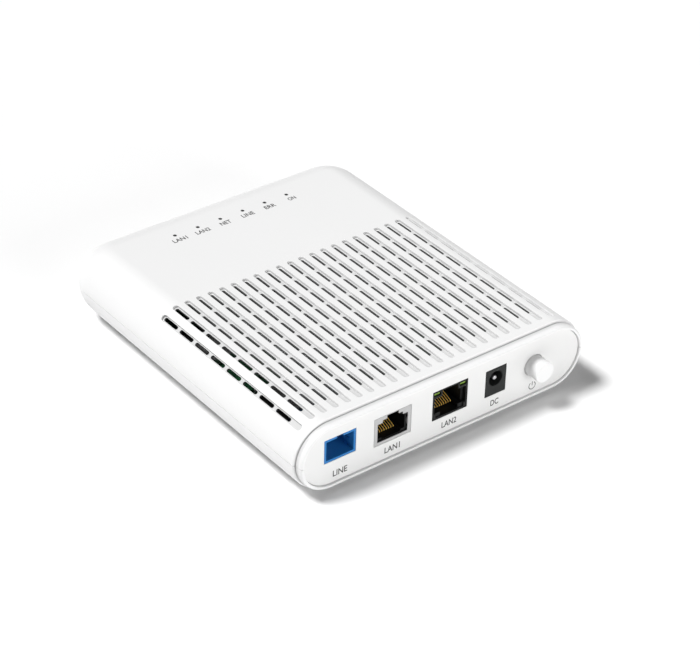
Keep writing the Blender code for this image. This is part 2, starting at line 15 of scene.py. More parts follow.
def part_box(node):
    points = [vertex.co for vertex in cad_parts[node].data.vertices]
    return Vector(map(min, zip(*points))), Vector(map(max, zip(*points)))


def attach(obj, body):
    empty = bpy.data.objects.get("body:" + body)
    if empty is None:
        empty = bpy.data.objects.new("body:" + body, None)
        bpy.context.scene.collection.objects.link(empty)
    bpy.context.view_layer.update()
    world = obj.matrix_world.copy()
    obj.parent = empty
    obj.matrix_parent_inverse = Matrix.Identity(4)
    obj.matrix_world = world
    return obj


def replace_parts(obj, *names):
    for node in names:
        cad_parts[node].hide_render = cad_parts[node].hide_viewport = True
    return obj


bl_info = {
    "name": "Optical network terminal",
    "version": (1, 0, 0),
    "blender": (4, 5, 0),
    "location": "3D View > Sidebar > Terminal",
    "description": "Builds a slim network terminal with vent grooves, ports and a power button",
    "category": "Add Mesh",
}

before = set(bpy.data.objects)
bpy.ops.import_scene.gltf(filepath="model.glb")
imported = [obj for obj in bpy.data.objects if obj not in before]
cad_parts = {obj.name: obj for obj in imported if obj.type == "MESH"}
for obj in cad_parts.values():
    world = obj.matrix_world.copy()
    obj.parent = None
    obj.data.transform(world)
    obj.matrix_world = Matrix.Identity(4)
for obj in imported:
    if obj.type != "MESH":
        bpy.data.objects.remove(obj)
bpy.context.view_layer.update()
MM = 0.001


def span(node):
    """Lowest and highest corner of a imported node, in millimetres."""
    low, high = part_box(node)
    return np.round(np.array(low) / MM, 3), np.round(np.array(high) / MM, 3)


TOP_LOW, TOP_HIGH = span("top_cover")
BOTTOM_LOW = span("bottom_cover")[0]
HALF = TOP_HIGH[0]                              # half width of the housing
EDGE = (TOP_HIGH[2] - BOTTOM_LOW[2]) / 2        # radius of the full-round edge
MID = (TOP_HIGH[2] + BOTTOM_LOW[2]) / 2         # height of the parting plane
FLAT = HALF - EDGE                              # where the flat top turns into the edge
FAR = TOP_HIGH[1]
RIM_FRONT = TOP_LOW[1]
PANEL_FACE = span("port_panel")[0][1]
CORNER = 16.5                                   # plan radius of the two far corners
WALL = 1.9
SHOULDER = PANEL_FACE + 2.6                     # where the body steps down to the neck
LIP = PANEL_FACE + 1.2                          # back of the lip round the panel
RIM_OUTER, RIM_INNER = 0.9, 2.25                # insets of the rim's outer and inner faces
NECK_DEPTH, NECK_WIDTH = 1.45, 0.4              # the gap between the body and the rim
NECK_SHADE = 1.1                                # depth taken for the gap's painted shade
CORNER_Y = FAR - CORNER
CORNER_X = HALF - CORNER
LEAST = 1e-4


# ---------------------------------------------------------------- settings

def length(name, description, millimetres):
    return bpy.props.FloatProperty(
        name=name, description=description, default=millimetres * MM, unit="LENGTH")


def paint(name, description, *value):
    return bpy.props.FloatVectorProperty(
        name=name, description=description, subtype="COLOR", size=3, default=value)


class HousingSettings(bpy.types.PropertyGroup):
    """Sizes and colours of the two covers and the panel"""
    groove_count: bpy.props.IntProperty(name="Grooves", description="Number of vent grooves", default=23)
    groove_pitch: length("Groove pitch", "Distance between vent grooves", 5.2)
    groove_width: length("Groove width", "Width of a vent groove", 2.4)
    groove_depth: length("Groove depth", "Depth of a vent groove", 1.1)
    slot_count: bpy.props.IntProperty(
        name="Slots", description="Open slots along each vent groove", default=8)
    parting_gap: length("Parting gap", "Gap between the two covers", 0.24)
    colour: paint("Housing colour", "Colour of the covers", 0.83, 0.83, 0.83)
    panel_colour: paint("Panel colour", "Colour of the recessed port panel", 0.78, 0.78, 0.775)


class PortSettings(bpy.types.PropertyGroup):
    """Sizes and colours of the ports and the power button"""
    fibre_colour: paint("Fibre port colour", "Colour of the optical receptacle", 0.022, 0.19, 0.50)
    jack_colour: paint("Jack colour", "Colour of the plain network jack", 0.007, 0.0075, 0.0075)
    window_colour: paint("Window colour", "Colour of the network jack's light windows", 0.28, 0.50, 0.05)
    ink_colour: paint("Ink colour", "Colour of the printed words", 0.06, 0.06, 0.06)
    button_radius: length("Button radius", "Radius of the power button", 4.2)


class StageSettings(bpy.types.PropertyGroup):
    """Light and floor"""
    tent_strength: bpy.props.FloatProperty(
        name="Tent light", description="Strength of the light from all round", default=0.078)
    key_strength: bpy.props.FloatProperty(
        name="Key light", description="Strength of the soft light from the left and above", default=3.5)
    front_power: bpy.props.FloatProperty(
        name="Front fill", description="Power of the low soft box in front of the ports", default=10.2,
        unit="POWER")


# ---------------------------------------------------------------- finishes

class Value:
    """A shader socket; sums and products on it add Math nodes."""

    def __init__(self, finish, socket):
        self.finish = finish
        self.socket = socket

    def math(self, operation, first, second):
        return self.finish.node("ShaderNodeMath", {"operation": operation}, {0: first, 1: second})[0]

    def __add__(self, other):
        return self.math("ADD", self, other)

    __radd__ = __add__

    def __mul__(self, other):
        return self.math("MULTIPLY", self, other)

    __rmul__ = __mul__

    def __sub__(self, other):
        return self.math("SUBTRACT", self, other)

    def __rsub__(self, other):
        return self.math("SUBTRACT", other, self)


class Finish:
    """A principled material that is built from node() calls."""

    def __init__(self, name, **constants):
        self.material = bpy.data.materials.new(name)
        self.material.use_nodes = True
        self.tree = self.material.node_tree
        self.shader = self.tree.nodes["Principled BSDF"]
        self.set(**constants)

    def node(self, kind, settings, values):
        """Adds a node: its settings first, then its inputs; returns its outputs as a list of Values."""
        made = self.tree.nodes.new(kind)
        for name, value in settings.items():
            if name == "stops":
                ramp = made.color_ramp.elements
                while len(ramp) < len(value):
                    ramp.new(0.5)
                for element, (place, colour) in zip(ramp, value):
                    element.position = place
                    element.color = (*colour, 1.0)
            else:
                setattr(made, name, value)
        for key, value in values.items():
            self.feed(made.inputs[key], value)
        return [Value(self, socket) for socket in made.outputs]

    def feed(self, socket, value):
        if isinstance(value, Value):
            self.tree.links.new(value.socket, socket)
        else:
            socket.default_value = value

    def place(self, stretch=(1.0, 1.0, 1.0)):
        """Object coordinates, stretched along each axis."""
        here = self.node("ShaderNodeTexCoord", {}, {})[3]
        return self.node("ShaderNodeMapping", {}, {"Vector": here, "Scale": stretch})[0]

    def noise(self, place, scale, detail=2.0):
        return self.node("ShaderNodeTexNoise", {}, {"Vector": place, "Scale": scale, "Detail": detail})[0]

    def blend(self, amount, first, second):
        """Colour between first and second."""
        mixed = self.node("ShaderNodeMix", {"data_type": "RGBA"}, {0: amount, 6: first, 7: second})
        return mixed[2]

    def ramp(self, value, stops):
        return self.node("ShaderNodeValToRGB", {"stops": stops}, {0: value})[0]

    def set(self, **inputs):
        for name, value in inputs.items():
            name = "Specular IOR Level" if name == "specular" else name.replace("_", " ").title()
            self.feed(self.shader.inputs[name], value)

    def bump(self, height, strength, distance):
        values = {"Height": height, "Strength": strength, "Distance": distance * MM}
        self.feed(self.shader.inputs["Normal"], self.node("ShaderNodeBump", {}, values)[0])


FINISHES = {}
BLACK = (0.0, 0.0, 0.0, 1.0)


def grey(level):
    return (level,) * 3


def shade(colour, factor):
    return (*(min(1.0, c * factor) for c in colour), 1.0)


def moulded(name, colour, roughness, grain=0.02, cell=0.35, variety=0.03, tint=None, **constants):
    """Moulded plastic: fine spark-eroded grain, faint flow marks and slightly uneven gloss. A tint, where
    given, paints shade into the colour it is given."""
    finish = Finish(name, **constants)
    place = finish.place()
    fine = finish.noise(place, 1000.0 / cell, 3.0)
    broad = finish.noise(place, 45.0, 4.0)
    tone = 0.7 * broad + 0.3 * fine
    base = finish.blend(tone, shade(colour, 1.0 - variety), shade(colour, 1.0 + variety))
    finish.set(base_color=tint(finish, base) if tint else base, roughness=roughness - 0.05 + 0.1 * tone)
    finish.bump(fine, 0.5, grain)
    return finish.material


def hollows(finish, base):
    """Painted shade of the hollows: grooves and the gap behind the rim are painted a little greyer than the
    outer skin, and the slot walls and the inside are painted dark. The attribute is the depth under the outer
    skin in millimetres; the ramp covers the first four of them."""
    depth = finish.node("ShaderNodeAttribute", {"attribute_name": "depth"}, {})[2]
    stops = [(0.06, grey(0.0)), (0.20, grey(0.24)), (0.28, grey(0.26)), (0.30, grey(0.82))]
    return finish.blend(finish.ramp(depth * 0.25, stops), base, BLACK)


def shaded_side(finish, base):
    """The button's face keeps the housing's white, and its barrel is darkened with painted shade to a light
    grey.
    """
    along = finish.node("ShaderNodeSeparateXYZ", {}, {0: finish.place()})[1]
    face = (BUTTON_LOW[1] + 0.35) * MM
    amount = finish.ramp((along - face) * 1000.0, [(0.0, grey(0.0)), (0.3, grey(0.13))])
    return finish.blend(amount, base, BLACK)


def worked_metal(name, colour, roughness, stretch, grain=0.01, variety=0.08, metallic=1.0):
    """Rolled or drawn metal: fine lines along one axis with cloudy tarnish."""
    finish = Finish(name, metallic=metallic)
    lines = finish.noise(finish.place(stretch), 2500.0, 2.0)
    cloud = finish.noise(finish.place(), 160.0, 4.0)
    tone = 0.5 * lines + 0.5 * cloud
    finish.set(base_color=finish.blend(tone, shade(colour, 1.0 - variety), shade(colour, 1.0 + variety)),
               roughness=roughness - 0.08 + 0.16 * tone)
    finish.bump(lines, 0.4, grain)
    return finish.material


def circuit_board(name):
    """Solder mask over copper: blocky traces, darker gaps and small vias."""
    finish = Finish(name, roughness=0.4)
    place = finish.place()
    cells = finish.node("ShaderNodeTexVoronoi", {"distance": "CHEBYCHEV"}, {"Vector": place, "Scale": 420.0})
    vias = finish.node("ShaderNodeTexVoronoi", {}, {"Vector": place, "Scale": 260.0})
    traces = finish.ramp(cells[0], [(0.35, (0.010, 0.075, 0.030)), (0.42, (0.018, 0.13, 0.05))])
    in_via = vias[0].math("LESS_THAN", vias[0], 0.08)
    finish.set(base_color=finish.blend(in_via, traces, (0.75, 0.65, 0.40, 1.0)))
    finish.bump(cells[0], 0.3, 0.03)
    return finish.material


def clear_plastic(name, colour, roughness):
    """Frosted clear plastic with faint clouding."""
    finish = Finish(name, transmission_weight=0.25)
    cloud = finish.noise(finish.place(), 600.0, 3.0)
    finish.set(base_color=finish.blend(cloud, shade(colour, 0.93), shade(colour, 1.05)),
               roughness=roughness + 0.1 * cloud)
    return finish.material


def make_finishes(housing, ports):
    """Every finish, named as its slot; first the plain ones, then those of the board's parts."""
    FINISHES.update({
        # painted shade: the housing darkens in its grooves, slots, neck gap and inside, the button on its
        # barrel
        "housing": moulded("housing_white", housing.colour, 0.42, 0.012, 0.4, 0.006, hollows),
        "panel": moulded("panel_white", housing.panel_colour, 0.46, 0.012, 0.4, 0.008),
        "button_plastic": moulded("button_white", housing.colour, 0.44, 0.006, 0.4, 0.01, shaded_side),
        "pin_plastic": moulded("pin_white", (0.72, 0.72, 0.70), 0.5),
        "grey_plastic": moulded("plunger_grey", (0.42, 0.43, 0.43), 0.5),
        "black_plastic": moulded("jack_black", ports.jack_colour, 0.5, 0.01, 0.3, 0.15, specular=0.22),
        "charcoal_plastic": moulded("inlet_charcoal", (0.012, 0.0135, 0.013), 0.5, 0.015, 0.3, 0.12,
                                    specular=0.25),
        "blue_plastic": moulded("receptacle_blue", ports.fibre_colour, 0.45, 0.01, 0.4, 0.06, specular=0.25),
        "light_pipe": clear_plastic("light_pipe_clear", grey(0.045), 0.35),
        "light_window": clear_plastic("jack_window", ports.window_colour, 0.3),
        "rubber": moulded("foot_rubber", grey(0.045), 0.82, 0.03, 0.5, 0.15),
        "nickel": worked_metal("shield_nickel", grey(0.50), 0.42, (1.0, 1.0, 0.05), metallic=0.85),
        "steel": worked_metal("screw_steel", (0.50, 0.50, 0.51), 0.36, (1.0, 1.0, 0.2)),
        "gold": worked_metal("contact_gold", (1.0, 0.62, 0.14), 0.42, (1.0, 0.05, 1.0), metallic=0.3),
        "aluminium": worked_metal("sink_aluminium", (0.70, 0.71, 0.72), 0.38, (1.0, 0.03, 1.0)),
        "board": circuit_board("board_green"),
        "chip": moulded("chip_epoxy", (0.022, 0.022, 0.024), 0.55, 0.02, 0.15, 0.2),
        "ceramic": moulded("sleeve_ceramic", (0.80, 0.79, 0.75), 0.22, 0.002, 0.2, 0.02),
        "thermal_pad": moulded("pad_silicone", (0.36, 0.46, 0.54), 0.85, 0.03, 0.3, 0.08),
        "label": moulded("label_film", (0.74, 0.74, 0.72), 0.5, 0.003, 0.3, 0.01),
        "ink": moulded("printed_ink", ports.ink_colour, 0.6, 0.004, 0.2, 0.06),
        "floor": moulded("floor_paper", grey(0.915), 0.9, 0.02, 0.6, 0.004),
    })


# ---------------------------------------------------------------- surfaces

class Skin:
    """Collects grids of points as quads and closes them into one mesh."""

    def __init__(self):
        self.points = []
        self.faces = []
        self.count = 0

    def grid(self, points, keep=None, loop=False):
        """Quads between the rows and columns of points; keep is true for the cells that stay, and loop
        joins the last column to the first."""
        rows, columns = points.shape[:2]
        index = np.arange(rows * columns).reshape(rows, columns) + self.count
        if loop:
            index = np.concatenate([index, index[:, :1]], axis=1)
        quads = np.stack([index[:-1, :-1], index[:-1, 1:], index[1:, 1:], index[1:, :-1]], axis=-1)
        quads = quads.reshape(-1, 4) if keep is None else quads[keep]
        self.points.append(points.reshape(-1, 3))
        self.faces += quads.tolist()
        self.count += rows * columns

    def ring(self, rows):
        """Quads between closed lines of points."""
        self.grid(np.stack(rows), loop=True)

    def cap(self, points):
        """One face across a closed line of points."""
        self.points.append(points)
        self.faces.append(list(range(self.count, self.count + len(points))))
        self.count += len(points)

    def piece(self, name, look, body="housing", bevel=0.0, sharp=38.0, closed=True):
        """Joins the grids into an object that rides on a body and takes its finish from a slot."""
        mesh = bpy.data.meshes.new(name)
        mesh.from_pydata((np.concatenate(self.points) * MM).tolist(), [], self.faces)
        bm = bmesh.new()
        bm.from_mesh(mesh)
        bmesh.ops.remove_doubles(bm, verts=bm.verts, dist=0.002 * MM)
        bmesh.ops.recalc_face_normals(bm, faces=bm.faces)
        open_edges = sum(not edge.is_manifold for edge in bm.edges)
        if closed and open_edges:
            raise RuntimeError(f"{name} has {open_edges} open edges")
        bm.to_mesh(mesh)
        bm.free()
        mesh.shade_smooth()
        mesh.set_sharp_from_angle(angle=math.radians(sharp))
        obj = bpy.data.objects.new(name, mesh)
        bpy.context.scene.collection.objects.link(obj)
        mesh.materials.append(FINISHES[look])
        if bevel:
            rounding = obj.modifiers.new("Rounding", "BEVEL")
            rounding.width = bevel * MM
            rounding.segments = 2
            rounding.limit_method = "ANGLE"
            rounding.angle_limit = math.radians(50.0)
        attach(obj, body)
        return obj


def rounded(corners, radii, steps=4):
    """A path through corners with each inner corner replaced by an arc of its radius."""
    path = [np.array(corners[0], float)]
    for before, here, after, radius in zip(corners, corners[1:], corners[2:], radii):
        here = np.array(here, float)
        back = np.array(before, float) - here
        ahead = np.array(after, float) - here
        back /= np.linalg.norm(back)
        ahead /= np.linalg.norm(ahead)
        if radius <= 0.0:
            path.append(here)
            continue
        half = math.acos(float(np.clip(back @ ahead, -1, 1))) / 2
        middle = here + (back + ahead) / np.linalg.norm(back + ahead) * radius / math.sin(half)
        first = here + back * radius / math.tan(half) - middle
        last = here + ahead * radius / math.tan(half) - middle
        turn = math.pi - 2 * half
        for step in np.linspace(0.0, 1.0, steps + 1):
            weight = np.sin(turn * (1 - step)), np.sin(turn * step)
            path.append(middle + (weight[0] * first + weight[1] * last) / math.sin(turn))
    path.append(np.array(corners[-1], float))
    return np.array(path)


def turned(skin, centre, profile, steps=40, upright=False):
    """A profile of (distance, radius) turned about a line through centre: point = centre + distance along
    the line + radius times (cosine, sine) across it."""
    angle = np.linspace(0.0, math.tau, steps, endpoint=False)
    along = profile[:, :1] + 0 * angle
    first = centre[0] + profile[:, 1:] * np.cos(angle)
    second = centre[1] + profile[:, 1:] * np.sin(angle)
    order = [first, second, along] if upright else [first, along, second]
    skin.grid(np.stack(order, axis=-1), loop=True)


def blocks(skin, filled, carved=()):
    """Rectangular solids with rectangular hollows: the sides of all boxes divide space into cells, and a
    face stands wherever a filled cell meets an empty one."""
    boxes = np.array(list(filled) + list(carved), float)
    lines = [np.unique(np.round(boxes[:, :, axis], 4)) for axis in range(3)]
    middle = np.meshgrid(*[(line[1:] + line[:-1]) / 2 for line in lines], indexing="ij")
    solid = np.zeros(middle[0].shape, bool)
    for number, (low, high) in enumerate(boxes):
        inside = np.all([(m > a) & (m < b) for m, a, b in zip(middle, low, high)], axis=0)
        solid[inside] = number < len(filled)
    for axis in range(3):
        pad = [(int(axis == other), int(axis == other)) for other in range(3)]
        cell = np.argwhere(np.diff(np.pad(solid, pad).astype(int), axis=axis))
        one, two = [other for other in range(3) if other != axis]
        corners = []
        for step_one, step_two in ((0, 0), (1, 0), (1, 1), (0, 1)):
            place = np.zeros((len(cell), 3))
            place[:, axis] = lines[axis][cell[:, axis]]
            place[:, one] = lines[one][cell[:, one] + step_one]
            place[:, two] = lines[two][cell[:, two] + step_two]
            corners.append(place)
        for first, second, third, fourth in np.stack(corners, axis=1):
            skin.grid(np.array([[first, second], [fourth, third]]))


def tube(skin, path, radius, steps=8):
    """A round wire along a path in a plane of constant x: point = path + radius (cosine times the path's
    normal + sine times +X). The ends are closed."""
    ahead = np.gradient(path, axis=0)
    ahead /= np.linalg.norm(ahead, axis=1)[:, None]
    normal = np.stack([0 * ahead[:, 0], -ahead[:, 2], ahead[:, 1]], axis=-1)
    angle = np.linspace(0.0, math.tau, steps, endpoint=False)[None, :, None]
    rings = path[:, None] + radius * (np.cos(angle) * normal[:, None] + np.sin(angle) * np.array([1.0, 0, 0]))
    skin.grid(rings, loop=True)
    skin.cap(rings[0])
    skin.cap(rings[-1])


def within(values, low, high):
    return values[(values > low - LEAST) & (values < high + LEAST)]


def grid_lines(*parts):
    """All values of the parts in order, each once, to a thousandth of a millimetre."""
    return np.unique(np.round(np.concatenate(parts), 3))


def window_at(u, v, half_u, half_v):
    """A window whose middle is (u, v), as (low u, high u, low v, high v) on the grid."""
    return tuple(np.round([u - half_u, u + half_u, v - half_v, v + half_v], 3))


def around(first, second, window):
    """Grid values once round a window."""
    a = within(first, window[0], window[1])
    b = within(second, window[2], window[3])
    u = np.concatenate([a[:-1], np.full(len(b) - 1, a[-1]), a[:0:-1], np.full(len(b) - 1, a[0])])
    v = np.concatenate([np.full(len(a) - 1, b[0]), b[:-1], np.full(len(a) - 1, b[-1]), b[:0:-1]])
    return u, v


def outside(first, second, windows):
    """True for the grid cells that lie in none of the windows."""
    u = ((first[1:] + first[:-1]) / 2)[:, None]
    v = ((second[1:] + second[:-1]) / 2)[None]
    keep = np.ones((len(first) - 1, len(second) - 1), bool)
    for low_u, high_u, low_v, high_v in windows:
        keep &= ~((u > low_u) & (u < high_u) & (v > low_v) & (v < high_v))
    return keep


def towards(u, v, core, radius):
    """The core rectangle's nearest point to (u, v), plus radius in the direction of (u, v) from it."""
    near_u, near_v = np.clip(u, core[0], core[1]), np.clip(v, core[2], core[3])
    away_u, away_v = u - near_u, v - near_v
    length = np.hypot(away_u, away_v)
    return near_u + radius * away_u / length, near_v + radius * away_v / length


# ---------------------------------------------------------------- housing shape

def section(s, inset=0.0):
    """Cross-section of the housing at length s from its middle: flat as far as FLAT, then a circular arc of
    radius EDGE; x, height above the parting plane, and the outward direction."""
    angle = np.clip(np.abs(s) - FLAT, 0.0, None) / EDGE
    out_x, out_z = np.sign(s) * np.sin(angle), np.cos(angle)
    return np.clip(s, -FLAT, FLAT) + (EDGE - inset) * out_x, (EDGE - inset) * out_z, out_x, out_z


def length_at(x):
    """Length along the cross-section at x."""
    over = np.clip(np.abs(x) - FLAT, 0.0, None) / EDGE
    return np.sign(x) * (np.minimum(np.abs(x), FLAT) + EDGE * np.arcsin(over))


def skin_points(side, s, y, inset):
    """Points of the housing's wall at length s, depth y and inset, above (side 1) or below (side -1)."""
    x, z, _, _ = section(s, inset)
    x, y, z = np.broadcast_arrays(x, y, MID + side * z)
    return np.stack([x, y, z], axis=-1)


class Local:
    """Flat coordinates (across, y, height) on the wall at length s."""

    def __init__(self, side, s):
        self.side = side
        self.x, self.z, self.out_x, self.out_z = section(s)
        self.curved = abs(s) > FLAT

    def across(self, s):
        x, z, _, _ = section(s)
        return (x - self.x) * self.out_z - (z - self.z) * self.out_x

    def points(self, across, y, depth, follow=False):
        """World points; with follow, the depth is measured from the curved wall and not from its tangent."""
        if follow and self.curved:
            depth = depth + EDGE - np.sqrt(EDGE ** 2 - across ** 2)
        x = self.x + across * self.out_z - depth * self.out_x
        z = self.z - across * self.out_x - depth * self.out_z
        x, y, z = np.broadcast_arrays(x, y, MID + self.side * z)
        return np.stack([x, y, z], axis=-1)


def end_path(x_values, corner_steps=14):
    """Middle line and outward direction round the far end: corner, straight, corner."""
    angle = np.linspace(0.0, math.pi / 2, corner_steps + 1)
    inner = x_values[::-1][1:-1]
    middle = np.concatenate([
        np.stack([np.full_like(angle, CORNER_X), np.full_like(angle, CORNER_Y)], -1),
        np.stack([inner, np.full_like(inner, CORNER_Y)], -1),
        np.stack([np.full_like(angle, -CORNER_X), np.full_like(angle, CORNER_Y)], -1)])
    out = np.concatenate([
        np.stack([np.cos(angle), np.sin(angle)], -1),
        np.stack([0 * inner, 0 * inner + 1.0], -1),
        np.stack([-np.sin(angle), np.cos(angle)], -1)])
    return middle, out


def carried(side, profile, path):
    """A profile of (inset, height) carried along a path: middle line + (CORNER - inset) times outward."""
    middle, out = path
    reach = (CORNER - profile[:, 0])[:, None, None]
    flat = middle[None] + reach * out[None]
    height = np.broadcast_to((MID + side * profile[:, 1])[:, None, None], (*flat.shape[:2], 1))
    return np.concatenate([flat, height], axis=-1)


def cover(side, s_values, y_values, windows, inner_windows, gap):
    """Outer and inner wall of one cover with windows left open, its far end, its neck and rim."""
    last = FLAT + EDGE * math.acos(gap / 2 / EDGE)
    arc = np.linspace(FLAT, last, 17)
    s_side = np.concatenate([np.abs(s_values[np.abs(s_values) >= CORNER_X]), arc, [CORNER_X]])
    s_side = np.unique(np.round(s_side, 4))
    s_middle = s_values[np.abs(s_values) < CORNER_X - 0.05]
    s_all = np.concatenate([-s_side[::-1], s_middle, s_side])
    front_y = SHOULDER + 0.6                    # past the shoulder's rounding
    y_outer = np.concatenate([[front_y], y_values])
    y_inner = np.concatenate([[LIP], y_values])
    skin = Skin()
    for inset, y_list, holes in ((0.0, y_outer, windows), (WALL, y_inner, inner_windows)):
        skin.grid(skin_points(side, s_all[:, None], y_list[None], inset), outside(s_all, y_list, holes))
        x, z, _, _ = section(s_side, inset)
        path = end_path(np.concatenate([[-CORNER_X], s_middle, [CORNER_X]]))
        skin.grid(carried(side, np.stack([HALF - x, z], -1), path))
    front = rounded(
        [(front_y, 0.0), (SHOULDER, 0.0), (SHOULDER, NECK_DEPTH), (SHOULDER - NECK_WIDTH, NECK_DEPTH),
         (SHOULDER - NECK_WIDTH, RIM_OUTER), (RIM_FRONT, RIM_OUTER), (RIM_FRONT, RIM_INNER),
         (LIP, RIM_INNER), (LIP, WALL)],
        [0.58, 0.0, 0.0, 0.0, 0.7, 0.2, 0.0])
    skin.grid(skin_points(side, s_all[:, None], front[None, :, 0], front[None, :, 1]))
    edge = np.array([(HALF - x, z) for x, z, _, _ in (section(last, 0.0), section(last, WALL))])
    middle, out = path
    for sign in (1, -1):
        rail = (np.stack([np.full_like(y_values, sign * CORNER_X), y_values], -1),
                np.stack([np.full_like(y_values, sign), 0 * y_values], -1))
        skin.grid(carried(side, edge, rail))
        lip = np.concatenate([[(y_values[0], 0.0)], front, [(y_values[0], WALL)]])
        skin.cap(skin_points(side, sign * last, lip[:, 0], lip[:, 1]))
    skin.grid(carried(side, edge, (middle, out)))
    return skin, s_all


def sunk(skin, side, s_values, y_values, window, core, rings, through=False, inner_rings=()):
    """Fills a window with rings that close in on a rounded shape and go down; rings are (radius, depth). A
    blind one ends in a flat face, a through one joins the same window of the inner wall."""
    local = Local(side, (window[0] + window[1]) / 2)
    s, y = around(s_values, y_values, window)
    across = local.across(s)
    rows = [skin_points(side, s, y, 0.0)]
    for radius, depth in rings:
        a, b = towards(across, y, core, radius)
        rows.append(local.points(a, b, depth, follow=depth < 0.3))
    if through:
        rows.append(skin_points(side, s, y, WALL))
    else:
        skin.cap(rows[-1])
    skin.ring(rows)
    if inner_rings:
        rows = [skin_points(side, s, y, WALL)]
        for radius, depth in inner_rings:
            a, b = towards(across, y, core, radius)
            rows.append(local.points(a, b, depth))
        skin.cap(rows[-1])
        skin.ring(rows)


def mark_depth(obj):
    """Stores each point's depth under the outer skin, which the housing's painted shade is read from: EDGE
    minus its distance from the middle line of the cross-section, or CORNER and EDGE together round the far
    corners. The rim counts as skin and gets no painted shade, and the gap behind it is shaded like a groove."""
    count = len(obj.data.vertices)
    points = np.zeros(count * 3)
    obj.data.vertices.foreach_get("co", points)
    x, y, z = points.reshape(-1, 3).T / MM
    beyond = np.clip(y - CORNER_Y, 0.0, None)
    corner = CORNER - np.hypot(np.clip(np.abs(x) - CORNER_X, 0.0, None), beyond)
    reach = np.where(beyond > 0.0, EDGE - np.minimum(corner, EDGE), np.clip(np.abs(x) - FLAT, 0.0, None))
    depth = obj.data.attributes.new("depth", "FLOAT", "POINT")
    below = EDGE - np.hypot(reach, z - MID)
    neck = y < SHOULDER + 0.3
    below[neck] = np.minimum(below[neck], NECK_SHADE)
    below[y < SHOULDER - 0.5] = 0.0
    depth.data.foreach_set("value", below)
    return obj


# ---------------------------------------------------------------- operators

class Build:
    """Shared by the operators: the settings, and execute, which runs build."""
    bl_options = {"REGISTER", "UNDO"}

    def execute(self, context):
        self.build(context.scene)
        return {"FINISHED"}

    @property
    def housing(self):
        return bpy.context.scene.terminal_housing

    @property
    def ports(self):
        return bpy.context.scene.terminal_ports


GROOVE_NEAR = PANEL_FACE + 6.3
GROOVE_FAR = PANEL_FACE + 92.2
GROOVE_MIDDLE = -2.4
GROOVE_CELLS = np.array([0.0, 0.21, 0.38, 0.5, 0.62, 0.79])      # grid lines across one groove's strip
FLOOR_RADIUS = 1.08
SLOT_PITCH = 10.0
SLOT_LENGTH = 8.3
SLOT_RADIUS = 0.78
SLOT_FIRST = 0.8
LIGHTS = -0.5 + 10.6 * (np.arange(6) - 2.5)
LIGHTS_Y = PANEL_FACE + 132.6
LIGHT_WINDOW = 1.4                              # half of the grid window round a light's hole
LIGHT_RINGS = ((1.0, 0.0), (0.86, 0.0), (0.79, 0.06), (0.79, WALL))
SLOT_LINES = np.array([0.0, 0.75, 1.45, SLOT_PITCH - 1.45, SLOT_PITCH - 0.75])
BAR_LOW, BAR_HIGH = 19.0, 21.0                  # the light guide's bar


def vent_groove(skin, s_values, y_values, window, housing):
    """One groove: its edge, walls and floor, the slots through the floor and the inner wall round them."""
    local = Local(1, (window[0] + window[1]) / 2)
    half = housing.groove_width / MM / 2
    depth = housing.groove_depth / MM
    core = (0.0, 0.0, GROOVE_NEAR + half, GROOVE_FAR - half)
    s, y = around(s_values, y_values, window)
    across = local.across(s)
    rows = [skin_points(1, s, y, 0.0)]
    for radius, down in ((half + 0.24, 0.0), (half + 0.2, 0.0), (half + 0.06, 0.05), (half, 0.19),
                         (half, depth - 0.1), (FLOOR_RADIUS, depth)):
        a, b = towards(across, y, core, radius)
        rows.append(local.points(a, b, down, follow=down < 0.3))
    skin.ring(rows)
    edge_a, edge_y = towards(across, y, core, FLOOR_RADIUS)
    skin.ring([local.points(edge_a, edge_y, WALL), skin_points(1, s, y, WALL)])
    borders = slot_borders(housing)
    near = edge_y < core[2] + LEAST
    order = np.argsort(edge_a[near])
    line, arc = edge_a[near][order], edge_y[near][order]
    blind = within(y_values, core[2] + 0.01, borders[0])
    for down in (depth, WALL):
        strip = [local.points(line, arc, down)] + [local.points(line, level, down) for level in blind]
        skin.grid(np.stack(strip))
    for low, high in zip(borders, borders[1:]):
        if high < GROOVE_FAR - half:
            a, b = around(line, y_values, (line[0], line[-1], low, high))
        else:
            beyond = edge_y > low + LEAST
            a = np.concatenate([line, edge_a[beyond]])
            b = np.concatenate([np.full_like(line, low), edge_y[beyond]])
        start = low + (SLOT_PITCH - SLOT_LENGTH) / 2
        slot = (0.0, 0.0, start + SLOT_RADIUS, start + SLOT_LENGTH - SLOT_RADIUS)
        slot_a, slot_y = towards(a, b, slot, SLOT_RADIUS)
        skin.ring([local.points(a, b, depth), local.points(slot_a, slot_y, depth),
                   local.points(slot_a, slot_y, WALL), local.points(a, b, WALL)])


def slot_borders(housing):
    """Lines between neighbouring slots, from the port end to the far end."""
    count = housing.slot_count
    last = GROOVE_FAR - SLOT_FIRST + (SLOT_PITCH - SLOT_LENGTH) / 2
    return last - SLOT_PITCH * np.arange(count, -1, -1)


